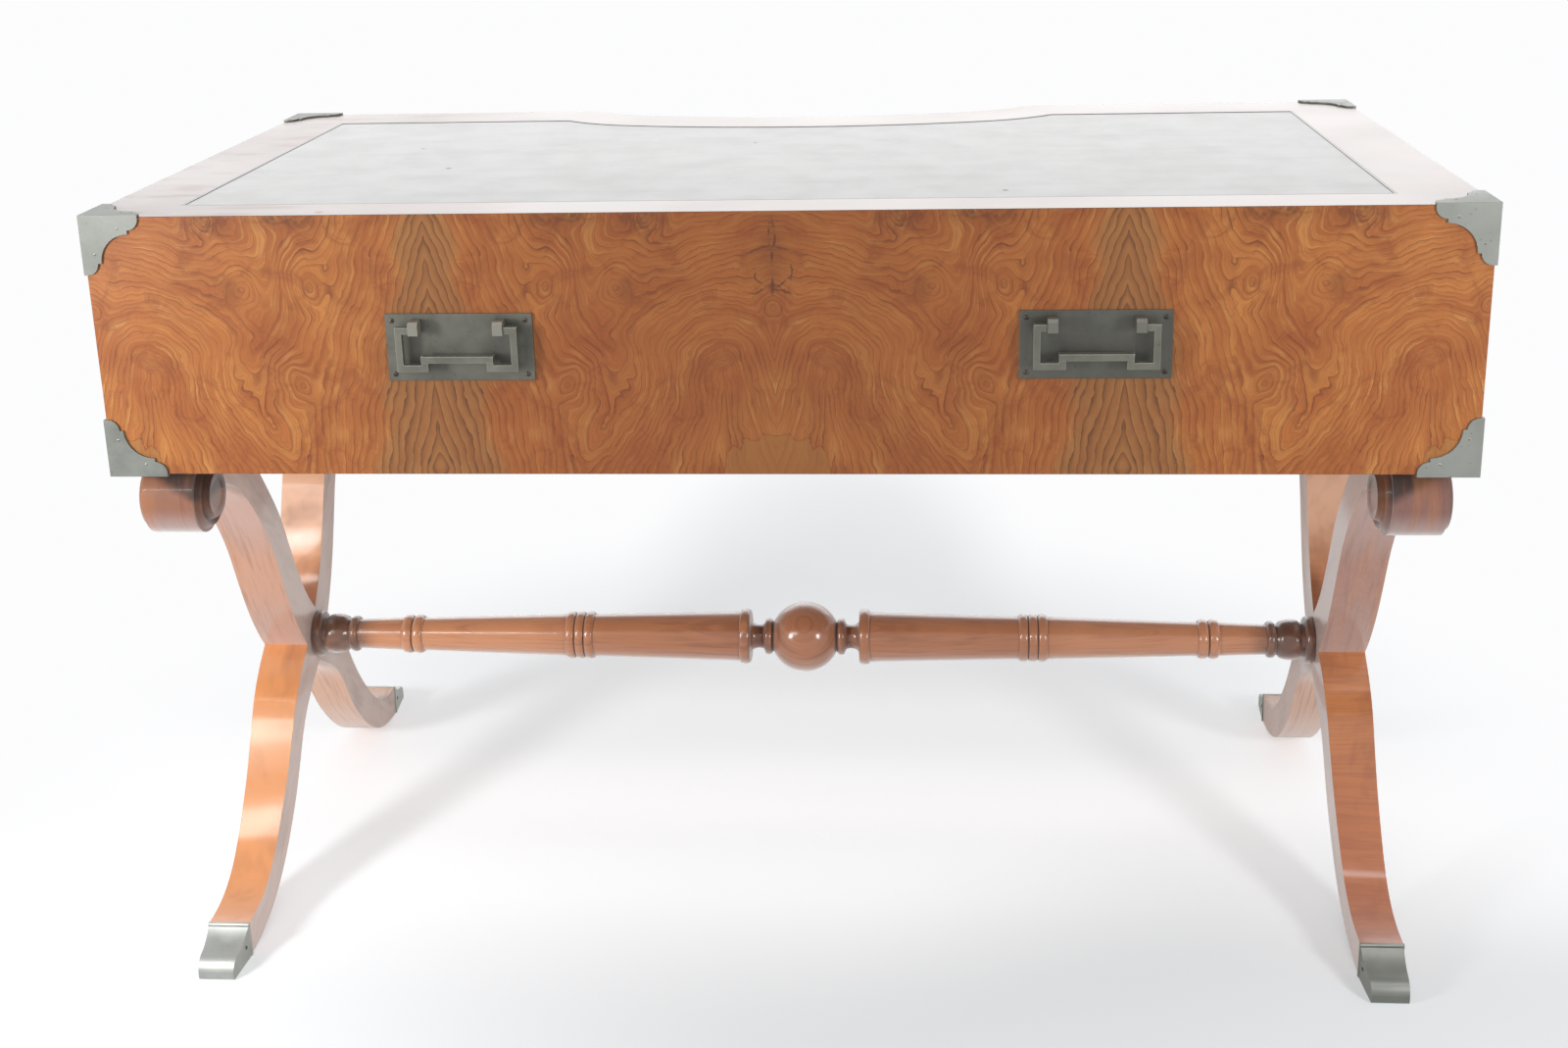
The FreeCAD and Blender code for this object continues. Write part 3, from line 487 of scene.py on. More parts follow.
def aged_and_lit_leg(place, wood):
    """Painted light and shade, and dustiness: brighter left frame and legs behind, paler flat
    sides and undersides, darker scrolls under the case.
    """
    x, y, z = place.axes()
    nx, ny, nz = place.add("ShaderNodeTexCoord", None, None, "Normal").axes()
    # painted light: the left frame brighter
    wood = painted_left_light(place, wood, 0.85)
    behind = y.step(0.01, 0.06)
    # painted light: the legs behind are painted paler, most on faces that look to the front
    painted_light_behind = behind * x.step(-0.5, 0.5, 0.6, 0.82) + behind * ny.step(-0.7, -0.3, 0.14, 0.0)
    wood = painted_light_behind.blend(wood, paint(246, 200, 168))
    red = x.step(0.0, 0.5) * (1 - behind * 0.7) * z.step(0.08, 0.2, 0.5, 0.26)
    wood = red.blend(wood, paint(156, 74, 50))
    roll = place.joined(abs(y) - SCROLL_AT[0], z - SCROLL_AT[1]).length()
    scroll = roll.step(SCROLL_R, SCROLL_R + 0.012, 1.0, 0.0)
    # painted shade: the scrolls, under the overhanging case, are painted a darker grey-brown
    scroll_shade_tone = x.step(-0.5, 0.5).blend(paint(126, 89, 79), paint(124, 95, 92))
    wood = (scroll * 0.85).blend(wood, scroll_shade_tone)
    # painted sheen with dust: the flat sides are painted paler, as dust and the white room
    # mirrored at a low angle, the inner sides most
    dust_and_sheen_tone = x.step(-0.4, 0.4).blend(paint(244, 220, 208), paint(222, 184, 166))
    dust_and_sheen = abs(nx).step(0.7, 0.95) * (nx * x).step(-0.5, -0.3, 0.78, 0.55)
    wood = (dust_and_sheen * (1 - scroll * 0.8)).blend(wood, dust_and_sheen_tone)
    # painted reflection: the undersides are painted paler, as the white floor mirrored in them
    under_floor_reflection = nz.step(-0.55, -0.05, 0.66, 0.0) * (1 - behind * 0.8)
    wood = under_floor_reflection.blend(wood, paint(180, 148, 140))
    return scroll_painted_shade(place, wood, roll, scroll, nx)


print("scrolls: middles", SCROLL_AT, "m from the desk's middle and the floor")

# %% [markdown]
# The turned rail is darker in its valleys, by ambient occlusion: how much of the open air a point
# in a valley sees. Towards the legs and its left end it is painted lighter and in its middle
# darker, as painted light from the lamps at the sides.

# %% Painted light and ageing on the stretcher
VALLEY = 0.007                     # how far from a point a wall still shades it, in metres


def aged_and_lit_rail(place, wood):
    """Painted light: lighter towards the left end and the legs, darker in the middle; and darker
    in the valleys of the turning, on its ends and beside the ball.
    """
    x = place.axes()[0]
    # painted light: the left end and the parts towards the legs lighter, the middle darker
    wood = painted_left_light(place, wood)
    painted_light_outer = abs(x).step(0.21, 0.31)
    wood = (painted_light_outer * 0.3).blend(wood, paint(244, 176, 132))
    wood = ((1 - painted_light_outer) * 0.16).blend(wood, paint(120, 76, 62))
    hollow = place.add("ShaderNodeAmbientOcclusion", {"samples": 8}, {"Distance": VALLEY}, "AO")
    ends = abs(x).step(0.466, 0.497, 0.0, 0.85) * place.noise(50, 3).step(0.3, 0.6, 0.75, 1.0)
    waist = abs(x).step(0.058, 0.062, 0.45, 0.0) * abs(x).step(0.036, 0.040)
    darkened = hollow.step(0.45, 0.85, 0.9, 0.0).math("MAXIMUM", ends).math("MAXIMUM", waist)
    return darkened.blend(wood, paint(70, 50, 45))


print("dirt where walls stand within", VALLEY, "m")

# %% [markdown]
# ## Plain woods
# Pores are long along the grain and very thin across it, so the position is stretched along each
# piece's own grain before the noise is read. Light flecks cross the grain where the wood is cut
# on the quarter. One function gives the red wood of the legs, the pale wood of the drawers and the
# dark one of the carcase.

# %% Plain woods
def leg_polish(place):
    """The polish has gone from the legs behind, the scrolls and just below the crossing."""
    _, y, z = place.axes()
    return y.step(0.02, 0.08, 1.0, 0.12) * abs(z - 0.197).step(0.006, 0.016, 0.15, 1.0) \
        * z.step(0.40, 0.44, 1.0, 0.12)


def plain_wood(name, base, light, deep, slope, gloss=0.3, coat=1.0, age_and_light=None, curl=0.0,
               polish_rough=0.13):
    """Straight-grained wood; slope is the direction of the grain, curl how much it is figured,
    and age a function that lays ageing and painted light over the wood."""
    material, place = begin(name)
    direction = tuple(Vector(slope).normalized())
    run = place.vector("DOT_PRODUCT", direction).other("Value")
    cx, cy, cz = place.vector("CROSS_PRODUCT", direction).axes()
    thick = cy + cz
    sway = (place.noise(5, 2) - 0.5) * 0.02
    # year rings make one direction across the grain change much faster than the other
    pores = place.joined(run * 7, cx * 30 + sway * 60, thick * 150 + sway * 150).noise(1.0, 3, 0.6)
    broad = place.joined(run * 2, cx * 8, thick * 40 + sway * 26).noise(1.0, 2)
    wood = broad.step(0.3, 0.72).blend(base, light)
    wood = (pores.step(0.5, 0.75) * 0.42).blend(wood, deep)
    fine = place.joined(run * 20, cx * 90, thick * 640 + sway * 300).noise(1.0, 2)
    wood = (fine.step(0.5, 0.7) * 0.3).blend(wood, deep)
    fleck = place.joined(run * 90, cx * 320, thick * 320).noise(1.0, 1).step(0.66, 0.8)
    wood = (fleck * 0.16).blend(wood, light)
    wood = (place.noise(9, 3).step(0.5, 0.8) * 0.3).blend(wood, deep)
    if curl:
        # a wavy figure, which shows most on the front of the right frame
        x, y, _ = place.axes()
        waves = place.joined(run * 230 + broad * 9, cx * 70 + sway * 300, thick * 70)
        curls = waves.noise(1.0, 2, 0.5, 0.8).step(0.4, 0.64) * x.step(-0.1, 0.3, 0.3, 1) \
            * y.step(0.03, 0.1, curl, 0.1)
        wood = curls.blend(wood, deep)
    if age_and_light:
        wood = age_and_light(place, wood)
        wood = (broad.step(0.45, 0.7) * 0.3).blend(wood, light)
        wood = (pores.step(0.5, 0.7) * 0.3 + fine.step(0.5, 0.7) * 0.12).blend(wood, deep)
    close(place, wood, pores * 0.12 + gloss, height=pores, relief=0.00005,
          coat=leg_polish(place) if age_and_light == aged_and_lit_leg else coat, coat_roughness=polish_rough,
          specular=0.1, sheen=0.8 * coat)
    return material


drawer_wood = plain_wood("drawer_wood", paint(176, 146, 104), paint(196, 168, 126),
                         paint(140, 108, 72), (0, 1, 0), 0.5, 0.1)
case_wood = plain_wood("dark_wood", paint(120, 84, 54), paint(142, 102, 68), paint(88, 58, 38),
                       (1, 0, 0), 0.5, 0.1)
print("drawer wood nodes:", len(drawer_wood.node_tree.nodes))

# %% Woods of legs and stretcher
LEG_TONES = paint(178, 104, 56), paint(202, 128, 72), paint(132, 72, 40)
leg_down = plain_wood("leg_wood_rising_back", *LEG_TONES, (0, 0.74, -0.67), age_and_light=aged_and_lit_leg, curl=0.5)
leg_up = plain_wood("leg_wood_rising_front", *LEG_TONES, (0, 0.74, 0.67), age_and_light=aged_and_lit_leg, curl=0.5)
rail_wood = plain_wood("leg_wood_turned", paint(162, 98, 68), paint(188, 124, 88),
                       paint(114, 62, 44), (1, 0, 0), 0.2, age_and_light=aged_and_lit_rail, polish_rough=0.18)
print("leg wood nodes:", len(leg_down.node_tree.nodes))

# %% [markdown]
# ## Metal fittings
# Corner plates and pulls are patinated to a grey-green gunmetal, satin rather than bright, rubbed
# a little paler where hands reach and painted paler there as lit from above. The toe caps are the
# same metal, brushed brighter. Rubbed arrises are found by rounding the normal off within a small
# width: where it then differs from the real one, there is an edge. Those that look up are painted
# brighter still, as a painted highlight. Towards the desk's right end the corner plates are
# painted lighter and the back plates and toe caps darker, as painted light and shade.

# %% Bright edges
BARE_LIT_METAL = paint(220, 218, 206)


def worn_and_lit_edges(place, metal, width):
    """Lays bare metal on the worn arrises, and more on those that look up as a painted
    highlight from above.
    """
    round_off = place.add("ShaderNodeBevel", {"samples": 6}, {"Radius": width})
    flat = place.add("ShaderNodeNewGeometry", None, None, "Normal")
    worn = round_off.vector("DOT_PRODUCT", flat).other("Value").step(0.75, 0.97, 0.85, 0)
    # painted highlight: arrises that look up get more bare metal, as lit from above
    return (worn * round_off.axes()[2].step(-0.2, 0.5, 0.3, 1.0)).blend(metal, BARE_LIT_METAL)


print("bare metal:", tuple(round(v, 3) for v in BARE_LIT_METAL))

# %% Gunmetal
RUBBED_AND_LIT, SPOT = paint(134, 132, 121), paint(52, 52, 46)


def gunmetal(name, low, high, rough, brush=0.0, proud=None, metallic=0.5, spotted=0.35,
             right_painted_light=None, edge=0.0):
    """Satin metal with cloudy patina; proud is the plane (y, outward sign) beyond which hands
    rub it paler and it is painted lighter as lit from above, right_painted_light the colour that it
    is painted towards at the desk's right end as painted light and shade, edge the width of its
    bright arrises."""
    material, place = begin(name)
    x, y, z = place.axes()
    cloud = place.noise(22, 4, 0.6)
    metal = cloud.step(0.3, 0.7).blend(low, high)
    if proud:
        # rubbed paler where it stands proud, and painted lighter there as lit from above
        metal = ((y - proud[0]) * proud[1]).step(0.001, 0.005).blend(metal, RUBBED_AND_LIT)
    if edge:
        metal = worn_and_lit_edges(place, metal, edge)
    if right_painted_light:
        # painted light and shade: painted towards another tone at the right end, as the lamps light
        # it
        metal = x.step(-0.3, 0.5, 0.0, 0.5).blend(metal, right_painted_light)
    metal = (place.noise(260, 2).step(0.66, 0.76) * spotted).blend(metal, SPOT)
    lines = place.joined(x * 60, y * 400, z * 900).noise(1.0, 2)
    close(place, metal, cloud.step(0.3, 0.7, rough, rough + 0.12) + lines * brush,
          metallic=metallic, height=place.noise(500, 2) * 0.5 + lines * 0.5, relief=0.00003)
    return material


corner_metal = gunmetal("gunmetal_corners", paint(112, 114, 108), paint(132, 134, 128), 0.4,
                        right_painted_light=paint(150, 152, 146))
bail_metal = gunmetal("gunmetal_bails", paint(100, 99, 90), paint(120, 119, 108), 0.36,
                      edge=0.0014)
toe_metal = gunmetal("toe_metal", paint(156, 158, 153), paint(176, 178, 172), 0.28, 0.1,
                     metallic=0.8, spotted=0.1, right_painted_light=paint(72, 72, 62))
pin_metal = gunmetal("toe_pin_metal", paint(96, 94, 88), paint(120, 118, 110), 0.4)
screw_metal = gunmetal("screw_steel", paint(58, 50, 46), paint(84, 74, 66), 0.3)
print("corner metal nodes:", len(corner_metal.node_tree.nodes))

# %% Back plates of the pulls
PLATE_THICK = 0.0024               # in metres


def plate_front(name):
    """Place of a back plate's front along y, and the sign of the way that it faces."""
    low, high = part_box(name)
    facing = 1 if high[1] > 0 else -1
    return (low[1] if facing > 0 else high[1]) + facing * PLATE_THICK, facing


plate_metals = {}
for name in ["panel_handle_plate_left"] + ["drawer_%s_handle_plate" % n
                                           for n in ("left", "centre", "right")]:
    plate_metals[name] = gunmetal(name.replace("handle_plate", "gunmetal"), paint(88, 87, 80),
                                  paint(108, 107, 98), 0.42, proud=plate_front(name),
                                  right_painted_light=paint(72, 72, 68))
plate_metals["panel_handle_plate_right"] = plate_metals["panel_handle_plate_left"]
print("back plates:", len(plate_metals))

# %% [markdown]
# ## Dressing the frame's own pieces
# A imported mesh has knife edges. On the real desk every arris is eased, which is what catches the
# light. The modifiers here join the facets, round the sharp edges a little and shade the rest
# smooth; the mesh itself stays as it came.

# %% Smooth shading by angle
SHARP = math.radians(34)           # edges sharper than this stay edges


def shading_group():
    """Geometry nodes that shade faces smooth except across sharp edges."""
    group = bpy.data.node_groups.new("smooth_by_angle", "GeometryNodeTree")
    for way in ("INPUT", "OUTPUT"):
        group.interface.new_socket("Geometry", in_out=way, socket_type="NodeSocketGeometry")
    start, end = group.nodes.new("NodeGroupInput"), group.nodes.new("NodeGroupOutput")
    clear = group.nodes.new("GeometryNodeRemoveAttribute")
    clear.inputs["Name"].default_value = "custom_normal"
    angle = group.nodes.new("GeometryNodeInputMeshEdgeAngle")
    flat = group.nodes.new("FunctionNodeCompare")
    flat.operation = "LESS_THAN"
    flat.inputs[1].default_value = SHARP
    faces = group.nodes.new("GeometryNodeSetShadeSmooth")
    edges = group.nodes.new("GeometryNodeSetShadeSmooth")
    edges.domain = "EDGE"
    link = group.links.new
    link(start.outputs[0], clear.inputs["Geometry"])
    link(clear.outputs["Geometry"], faces.inputs["Geometry"])
    link(faces.outputs["Geometry"], edges.inputs["Geometry"])
    link(angle.outputs["Unsigned Angle"], flat.inputs[0])
    link(flat.outputs[0], edges.inputs["Shade Smooth"])
    link(edges.outputs["Geometry"], end.inputs[0])
    return group


SMOOTH = shading_group()
print("smoothing nodes:", len(SMOOTH.nodes))

# %% Modifiers for eased edges
FLAT = math.radians(0.5)           # faces that turn less than this from each other become one
JOIN, SLIVER = 0.00001, 0.00004    # corners nearer than this become one, in metres
FACE_WEIGHT = 80                   # how much large faces keep their own direction


def ease(piece, width, dissolve=True):
    """Worked edges on a piece, in metres, without touching its mesh."""
    if dissolve:
        weld = piece.modifiers.new("join", "WELD")
        weld.merge_threshold = JOIN
        plane = piece.modifiers.new("flats", "DECIMATE")
        plane.decimate_type = "DISSOLVE"
        plane.angle_limit = FLAT
    if width:
        bevel = piece.modifiers.new("arris", "BEVEL")
        bevel.width, bevel.segments = width, 2
        bevel.limit_method, bevel.angle_limit = "ANGLE", SHARP
        bevel.use_clamp_overlap = True
        # closes the slivers that a rounded edge leaves where it meets a corner
        slivers = piece.modifiers.new("slivers", "WELD")
        slivers.merge_threshold = SLIVER
    smooth = piece.modifiers.new("shade", "NODES")
    smooth.node_group = SMOOTH
    if width:
        flats = piece.modifiers.new("level", "WEIGHTED_NORMAL")
        flats.keep_sharp, flats.weight = True, FACE_WEIGHT


print("edges sharper than", round(math.degrees(SHARP)), "degrees are rounded")

# %% Finishes of the frame's nodes
# name of a node: its finish, and the width of its eased edges in metres
DRESS = {"top_board": (top_veneer, 0.0006), "long_panel": (panel_veneer, 0.0006),
         "writing_leather": (leather, 0.0003), "dark_string": (dark_line, 0),
         "case_floor": (case_wood, 0.0006), "toe_cap_pins": (pin_metal, 0.0002)}
for side in ("right", "left"):
    DRESS.update({"end_panel_" + side: (end_veneer, 0.0006),
                  "partition_" + side: (case_wood, 0.0005),
                  "stile_" + side: (drawer_veneer, 0.0005),
                  "drawer_guide_" + side: (drawer_wood, 0.0005),
                  "panel_bail_" + side: (bail_metal, 0.0006),
                  "leg_%s_panel_scroll" % side: (leg_down, 0.0009),
                  "leg_%s_sitter_scroll" % side: (leg_up, 0.0009),
                  "toe_cap_%s_sitter" % side: (toe_metal, 0.0004),
                  "toe_cap_%s_panel" % side: (toe_metal, 0.0004)})
for side in ("right", "left", "centre"):
    drawer = "drawer_%s_" % side
    DRESS.update({drawer + "front": (drawer_veneer, 0.0008), drawer + "box": (drawer_wood, 0.0006),
                  drawer + "bottom": (drawer_wood, 0.0003), drawer + "bail": (bail_metal, 0.0006)})
DRESS.update({name: (metal, 0.0003) for name, metal in plate_metals.items()})
for name, (material, width) in DRESS.items():
    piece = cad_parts[name]
    piece.data.materials.clear()
    piece.data.materials.append(material)
    ease(piece, width)
print("dressed", len(DRESS), "nodes of the frame")

# %% [markdown]
# ## New pieces
# The stretcher, corner plates and screws are made again in code, rounder than the frame's, and the
# plates get their small pins, which the frame leaves out. Each new piece takes a finish and the
# body on which it rides, and hides the node that it stands for, if it stands for one.

# %% Helpers for new pieces
def finished(name, shape):
    """Object from a worked shape, its faces turned outwards."""
    bmesh.ops.recalc_face_normals(shape, faces=shape.faces)
    mesh = bpy.data.meshes.new(name)
    shape.to_mesh(mesh)
    shape.free()
    piece = bpy.data.objects.new(name, mesh)
    bpy.context.scene.collection.objects.link(piece)
    return piece


def solid(name, corners, faces):
    """Object from corners and faces."""
    shape = bmesh.new()
    verts = [shape.verts.new(corner) for corner in corners]
    for face in faces:
        shape.faces.new([verts[i] for i in face])
    return finished(name, shape)


def dress(piece, material, body="desk", width=0.0, stands_for=()):
    """Finish and body of a new piece; hides the frame's nodes that it stands for."""
    piece.data.materials.append(material)
    ease(piece, width, dissolve=False)
    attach(piece, body)
    if stands_for:
        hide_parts(*stands_for)


# %% [markdown]
# ## Turned stretcher
# A turner cuts beads and hollows along two tapered halves, and a ball between them. A lathe does
# the same to a mesh: the outline of the rail is spun round the X axis. Beads are half ellipses, so
# that the valleys between them stay crisp.

# %% Outline of the stretcher
TENON = (0.036, 0.011)             # length and radius, inside the leg
RAIL_Z, BALL, NECK = 0.230, 0.0375, 0.015
# from the leg to the ball: length, radius at the start, in the middle and at the end, in mm; a
# part without a middle radius is a taper, and the tapers share what is left of the length
TURNING = ((9.5, 22.0, 25.2, 22.0), (3.5, 18.4, None, 18.4), (23.0, 18.4, 21.4, 17.0),
           (2.0, 17.0, None, 15.8), (9.5, 15.8, 19.6, 15.8), (48.5, 15.8, None, 17.6),
           (11.5, 17.6, 21.0, 17.8), (11.5, 17.8, 21.0, 17.8), (158.0, 17.8, None, 22.6),
           (10.2, 22.6, 25.5, 22.7), (10.2, 22.7, 25.5, 22.7), (10.2, 22.7, 25.5, 22.8),
           (158.5, 22.8, None, 26.8), (11.5, 26.8, 29.9, 26.8), (15.5, 18.5, 12.5, 16.4),
           (9.0, 16.4, 19.4, 15.0))
BEAD_STEPS, BALL_STEPS = 14, 24


def rail_profile():
    """Outline from the right tenon to the middle of the ball."""
    neck_x = math.sqrt(BALL ** 2 - NECK ** 2)
    tapers = sum(1 for part in TURNING if part[2] is None)
    spare = LEG_INNER - neck_x - sum(part[0] for part in TURNING) / 1000
    outline = [(LEG_INNER + TENON[0], TENON[1]), (LEG_INNER, TENON[1])]
    x = LEG_INNER
    for length, start, middle, end in TURNING:
        length = length / 1000 + (spare / tapers if middle is None else 0)
        if abs(outline[-1][1] - start / 1000) > 1e-6:
            outline.append((x, start / 1000))
        for i in range(1, BEAD_STEPS + 1 if middle else 2):
            t = i / BEAD_STEPS if middle else 1
            r = start + (end - start) * t
            if middle:
                r += (middle - (start + end) / 2) * math.sqrt(max(0, 1 - (2 * t - 1) ** 2))
            outline.append((x - length * t, r / 1000))
        x -= length
    first = math.asin(NECK / BALL)
    for i in range(1, BALL_STEPS + 1):
        a = first + (math.pi / 2 - first) * i / BALL_STEPS
        outline.append((BALL * math.cos(a), BALL * math.sin(a)))
    return outline


half = rail_profile()
print("stretcher outline:", len(half), "points a side, thickest", round(max(r for _, r in half), 4))

# %% Turned stretcher
def lathe(name, profile, centre, turns=96):
    """Mesh spun about X from pairs of distance along the axis and radius; closed at both ends."""
    corners = [(centre[0] + x, centre[1] + r * math.cos(a), centre[2] + r * math.sin(a))
               for x, r in profile for a in (2 * math.pi * k / turns for k in range(turns))]
    faces = []
    for i in range(len(profile) - 1):
        for k in range(turns):
            n = (k + 1) % turns
            faces.append((i * turns + k, i * turns + n, (i + 1) * turns + n, (i + 1) * turns + k))
    last = (len(profile) - 1) * turns
    faces += [tuple(range(turns))[::-1], tuple(range(last, last + turns))]
    return solid(name, corners, faces)


rail = lathe("turned_stretcher", half + [(-x, r) for x, r in half[-2::-1]], (0, 0, RAIL_Z))
dress(rail, rail_wood, stands_for=("stretcher",))
print("stretcher faces:", len(rail.data.polygons))

# %% [markdown]
# ## Corner plates
# Each corner of the case is bound by a plate folded over three faces. Every leaf has the same
# outline: a straight tip, a round lobe, a small step and one big hollow. The leaf is drawn once,
# given its thickness, and turned about the corner's diagonal to make the other two.

# %% Outline of a leaf
PLATE, LEAF, TIP, LOBE, STEP = 0.002, 0.054, 0.0036, 0.0104, 0.0035
LOBE_STEPS, HOLLOW_STEPS = 12, 24


def arc(middle, radius, start, end, steps):
    """Points along an arc, its ends in quarter turns."""
    return [(middle[0] + radius * math.cos(a * math.pi / 2),
             middle[1] + radius * math.sin(a * math.pi / 2))
            for a in (start + (end - start) * i / steps for i in range(steps + 1))]


def leaf_outline():
    """Corners of a leaf, from the plate's corner round by its lobes and hollow."""
    centre = LEAF - LOBE
    lobe = arc((centre, TIP), LOBE, 0, 1, LOBE_STEPS)
    hollow = arc((centre, centre), centre - TIP - LOBE - STEP, 3, 2, HOLLOW_STEPS)
    return [(0, 0), (LEAF, 0)] + lobe + hollow + [(v, u) for u, v in lobe[::-1]] + [(0, LEAF)]


print("leaf outline:", len(leaf_outline()), "points")

# %% Corner plates
CASE_HALF, CASE_DEEP, CASE_HIGH = 0.608, 0.303, 0.760    # of the case, without the plates
MITRE_JOIN, PLATE_ARRIS = 0.00005, 0.00035    # joins the mitres; width of the eased edges
DIAGONAL = Vector((1, 1, 1)).normalized()
TURNS = [Matrix.Rotation(math.radians(a), 4, DIAGONAL) for a in (0, 120, 240)]


def add_leaf(shape, outline, depth, matrix):
    """Adds a leaf with its two inner edges mitred, left open where it meets the other leaves."""
    inner = [(max(x, depth), max(y, depth)) for x, y in outline]
    low = [shape.verts.new(matrix @ Vector((x, y, 0))) for x, y in outline]
    high = [shape.verts.new(matrix @ Vector((x, y, depth))) for x, y in inner]
    shape.faces.new(low[::-1])
    shape.faces.new(high)
    for i in range(1, len(outline) - 1):
        shape.faces.new((low[i], low[i + 1], high[i + 1], high[i]))


def leaf_matrices(upper):
    """Places of all leaves at one level; each turns the plate's corner to the case's."""
    z = CASE_HIGH + PLATE if upper else CASE_LOW - PLATE
    for sx in (-1, 1):
        for sy in (-1, 1):
            corner = Matrix.Translation((sx * (CASE_HALF + PLATE), sy * (CASE_DEEP + PLATE), z)) \
                @ Matrix.Diagonal((-sx, -sy, -1 if upper else 1, 1))
            for turn in TURNS:
                yield corner @ turn


for name, upper, node in (("corner_plates_under", False, "corner_plates_lower"),
                          ("corner_plates_over", True, "corner_plates_upper")):
    shape = bmesh.new()
    for leaf in leaf_matrices(upper):
        add_leaf(shape, leaf_outline(), PLATE, leaf)
    bmesh.ops.remove_doubles(shape, verts=shape.verts, dist=MITRE_JOIN)
    dress(finished(name, shape), corner_metal, width=PLATE_ARRIS, stands_for=(node,))
print("corner plates:", 8, "of", len(TURNS), "leaves each")

# %% Pins of the corner plates
PIN_PLACES = ((0.035, 0.012), (0.012, 0.035))
PIN_R, PIN_H, PIN_SUNK = 0.0014, 0.0006, 0.0002    # the last is how deep a pin stands in its plate


def add_head(shape, matrix, radius, height, sides, rings):
    """Adds a low domed head standing on the XY plane."""
    rows = []
    for i in range(rings + 1):
        a = math.pi / 2 * i / (rings + 1)
        rows.append([shape.verts.new(matrix @ Vector((
            radius * math.cos(a) * math.cos(2 * math.pi * k / sides),
            radius * math.cos(a) * math.sin(2 * math.pi * k / sides), height * math.sin(a))))
            for k in range(sides)])
    for low, high in zip(rows, rows[1:]):
        for k in range(sides):
            n = (k + 1) % sides
            shape.faces.new((low[k], low[n], high[n], high[k]))
    shape.faces.new(rows[-1])
    shape.faces.new(rows[0][::-1])


shape = bmesh.new()
for leaf in list(leaf_matrices(False)) + list(leaf_matrices(True)):
    for px, py in PIN_PLACES:
        add_head(shape, leaf @ Matrix.Translation((px, py, PIN_SUNK))
                 @ Matrix.Diagonal((1, 1, -1, 1)), PIN_R, PIN_H, sides=16, rings=3)
dress(finished("corner_plate_pins", shape), bail_metal)
print("pins:", 8 * len(TURNS) * len(PIN_PLACES))

# %% [markdown]
# ## Screws of the pulls
# Each back plate is held by four round-headed screws. A slotted head is two half domes on a thin
# disc, with the slot between them, and on a plate no two slots stand at the same angle.

# %% Slotted screws
SCREW_R, SCREW_H, SLOT, SCREW_INSET = 0.0023, 0.0012, 0.0007, 0.006
DISC_TOP, DOME_FOOT = 0.3, 0.25                    # as shares of the head's height
DOME_END = math.radians(72)                        # how far up the dome's curve goes


def add_half_dome(shape, matrix, steps=12, rings=4):
    """Half of a slotted head: a dome cut flat beside the slot."""
    rows = []
    for i in range(rings + 1):
        a = DOME_END * i / rings
        r = SCREW_R * math.cos(a)
        z = SCREW_H * (DOME_FOOT + (1 - DOME_FOOT) * math.sin(a))
        reach = math.acos(SLOT / 2 / r)
        rows.append([shape.verts.new(matrix @ Vector((r * math.cos(t), r * math.sin(t), z)))
                     for t in (reach * (2 * k / steps - 1) for k in range(steps + 1))])
    for low, high in zip(rows, rows[1:]):
        for k in range(steps):
            shape.faces.new((low[k], low[k + 1], high[k + 1], high[k]))
        shape.faces.new((low[-1], low[0], high[0], high[-1]))
    shape.faces.new(rows[-1])
    shape.faces.new(rows[0][::-1])


def slotted_screws(name, plates, body, node):
    """Four slotted screws on each back plate, in the places of the frame's plain ones."""
    shape = bmesh.new()
    for p, plate in enumerate(plates):
        low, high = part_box(plate)
        face_y, facing = plate_front(plate)
        for i, x in enumerate((low[0] + SCREW_INSET, high[0] - SCREW_INSET)):
            for j, z in enumerate((low[2] + SCREW_INSET, high[2] - SCREW_INSET)):
                place = Matrix.Translation((x, face_y, z)) @ Matrix.Rotation(
                    math.radians(-90 * facing), 4, "X") @ Matrix.Rotation(
                    1.1 + 2.3 * i + 0.8 * j + 1.7 * p, 4, "Z")
                add_head(shape, place, SCREW_R, SCREW_H * DISC_TOP, sides=24, rings=1)
                add_half_dome(shape, place)
                add_half_dome(shape, place @ Matrix.Rotation(math.pi, 4, "Z"))
    dress(finished(name, shape), screw_metal, body, stands_for=(node,))


slotted_screws("panel_screws", ("panel_handle_plate_left", "panel_handle_plate_right"), "desk",
               "panel_handle_screws")
for side in ("left", "centre", "right"):
    slotted_screws("drawer_%s_screws" % side, ("drawer_%s_handle_plate" % side,),
                   "drawer_" + side, "drawer_%s_handle_screws" % side)
print("slotted screws:", 4 * len(plate_metals))

# %% [markdown]
# ## Floor and light
# The desk stands on a pale floor in a white room. The floor near the desk is a real surface that
# takes its shadow, with a little glow for the lens; further off it is plain white to the lens and
# in reflections, so that no horizon shows, and only the shade behind the desk and a front painted
# dimmer as shade are left of it. Between the legs the floor glows a little brighter, as painted
# light. The room is white to the lens too, and gives less light than it shows.

# %% Floor
material, place = begin("pale_floor")
x, y, _ = place.axes()
shade = place.joined((x + 0.02) * 3.2, (y - 0.75) * 1.5).length().step(0.5, 1.1, 1, 0)
far = place.joined(x * 0.9, y - 0.1).length().step(0.45, 0.9) * (1 - shade) * y.step(-0.35, 0.0)
far = far.math("MAXIMUM", place.joined(x, y).length().step(1.0, 1.9))
# painted shade: the front of the floor is painted dimmer
painted_front_shade = (y - x.step(0.0, 0.45, 0.0, 0.12)).step(-0.4, -0.05, 1.0, 0.0) * x.step(-0.6, 0.1, 0.5, 1.0)
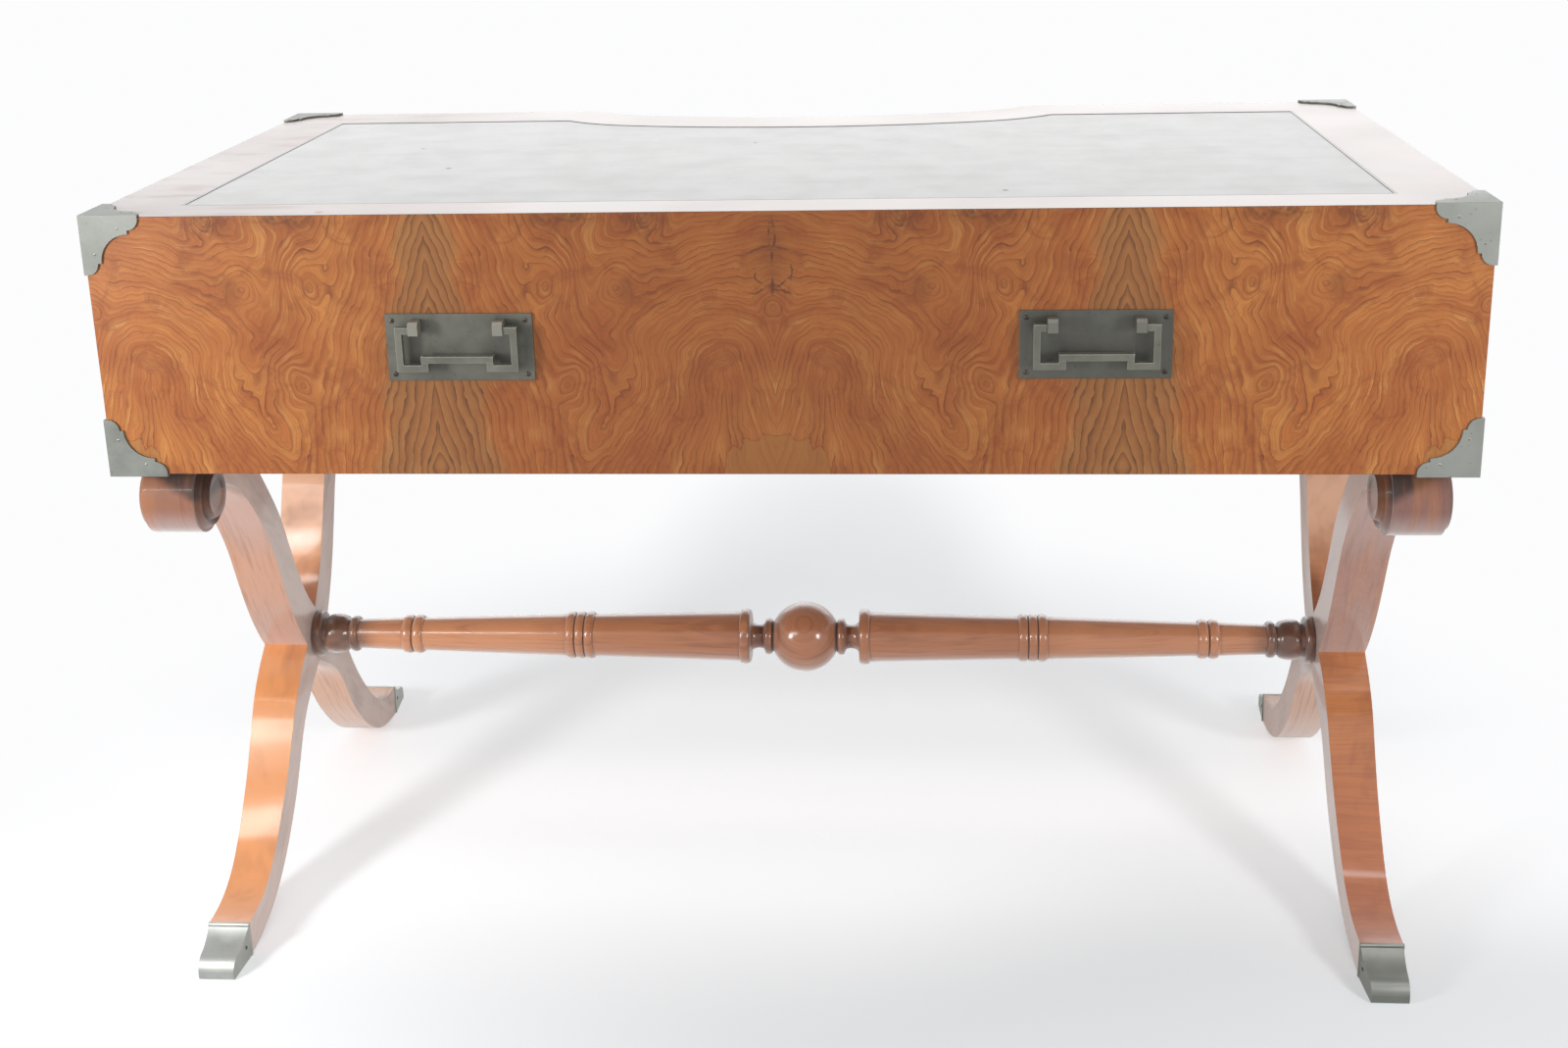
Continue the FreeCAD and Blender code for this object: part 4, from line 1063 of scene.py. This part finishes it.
# painted light: a band between the legs glows brighter
painted_light_pool = place.joined(x * 0.15, y - 0.08).length().step(0.03, 0.13, 1.0, 0.0)
tone = painted_front_shade.blend((0.88, 0.9, 0.92, 1), (0.62, 0.635, 0.65, 1))
bright = painted_light_pool.blend((0.845, 0.862, 0.871, 1), (0.98, 0.985, 0.99, 1))


def seen_rays(wire):
    """1 on rays from the lens, in mirrors and through glass, and 0 on light's own way."""
    path = wire.add("ShaderNodeLightPath", None, None, "Is Camera Ray")
    return path.math("MAXIMUM", path.other("Is Glossy Ray")).math(
        "MAXIMUM", path.other("Is Transmission Ray"))


seen = seen_rays(place)
plain = place.add("ShaderNodeBsdfDiffuse", None, {"Color": tone})
glow = place.add("ShaderNodeEmission", None, {
    "Color": painted_front_shade.blend(bright, (0.58, 0.6, 0.607, 1)), "Strength": 0.5})
lit = place.add("ShaderNodeAddShader", None, {0: plain, 1: glow})
near = place.add("ShaderNodeMixShader", None, {0: seen, 1: plain, 2: lit})
white = place.add("ShaderNodeEmission", None, {"Color": (0.98, 0.98, 0.99, 1), "Strength": 1.0})
both = place.add("ShaderNodeMixShader", None, {0: seen * far, 1: near, 2: white})
both.add("ShaderNodeOutputMaterial", None, {"Surface": both})
FLOOR = 12                                         # from the middle to an edge, in metres
floor = solid("floor", [(-FLOOR, -FLOOR, 0), (FLOOR, -FLOOR, 0), (FLOOR, FLOOR, 0),
                        (-FLOOR, FLOOR, 0)], [(0, 1, 2, 3)])
floor.data.materials.append(material)
print("floor:", 2 * FLOOR, "m wide")

# %% World
world = bpy.data.worlds.new("room")
world.use_nodes = True
bpy.context.scene.world = world
world.node_tree.nodes.clear()
start = Wire(world.node_tree, None)
back = start.add("ShaderNodeBackground", None, {
    "Color": (0.98, 0.985, 1.0, 1), "Strength": seen_rays(start) * 0.6 + 0.4})
back.add("ShaderNodeOutputWorld", None, {"Surface": back})
print("world nodes:", len(world.node_tree.nodes))

# %% [markdown]
# A soft lamp stands low at each side in front, the left one stronger, and throws the small
# shadows of the pulls; a wide one hangs above. Three thin strips and a big panel far behind show
# only in reflections: the strips as soft streaks on the legs, the panel as the pale glare on the
# polished top.

# %% Lamps
def lamp(name, at, towards, size, power, diffuse=True):
    """Area lamp at one point that looks towards another, in metres and watts."""
    light = bpy.data.lights.new(name, "AREA")
    light.shape, light.size, light.size_y, light.energy = "RECTANGLE", size[0], size[1], power
    obj = bpy.data.objects.new(name, light)
    obj.location = at
    obj.rotation_euler = (Vector(towards) - Vector(at)).to_track_quat("-Z", "Y").to_euler()
    obj.visible_diffuse = diffuse
    obj.visible_camera = False
    bpy.context.scene.collection.objects.link(obj)


lamp("softbox_left", (-1.3, -1.15, 0.78), (-0.4, -0.2, 0.4), (0.24, 0.34), 12.5)
lamp("softbox_right", (1.3, -1.15, 0.78), (0.4, -0.2, 0.4), (0.24, 0.34), 8)
lamp("strip_left_low", (-1.29, -1.74, 1.40), (-0.565, -0.1, 0.165), (0.8, 0.05), 7, diffuse=False)
lamp("strip_left_high", (-1.29, -1.30, 1.83), (-0.565, -0.155, 0.093), (0.8, 0.05), 3.6,
     diffuse=False)
lamp("strip_right", (1.02, -0.88, 2.2), (0.565, -0.07, 0.205), (0.6, 0.05), 1.6, diffuse=False)
lamp("softbox_over", (0, -1.3, 2.5), (0, -0.3, 0.6), (1.6, 0.8), 8)
lamp("glare_behind", (0, 4.2, 1.9), (0, 0, 0.76), (6.0, 2.4), 70, diffuse=False)
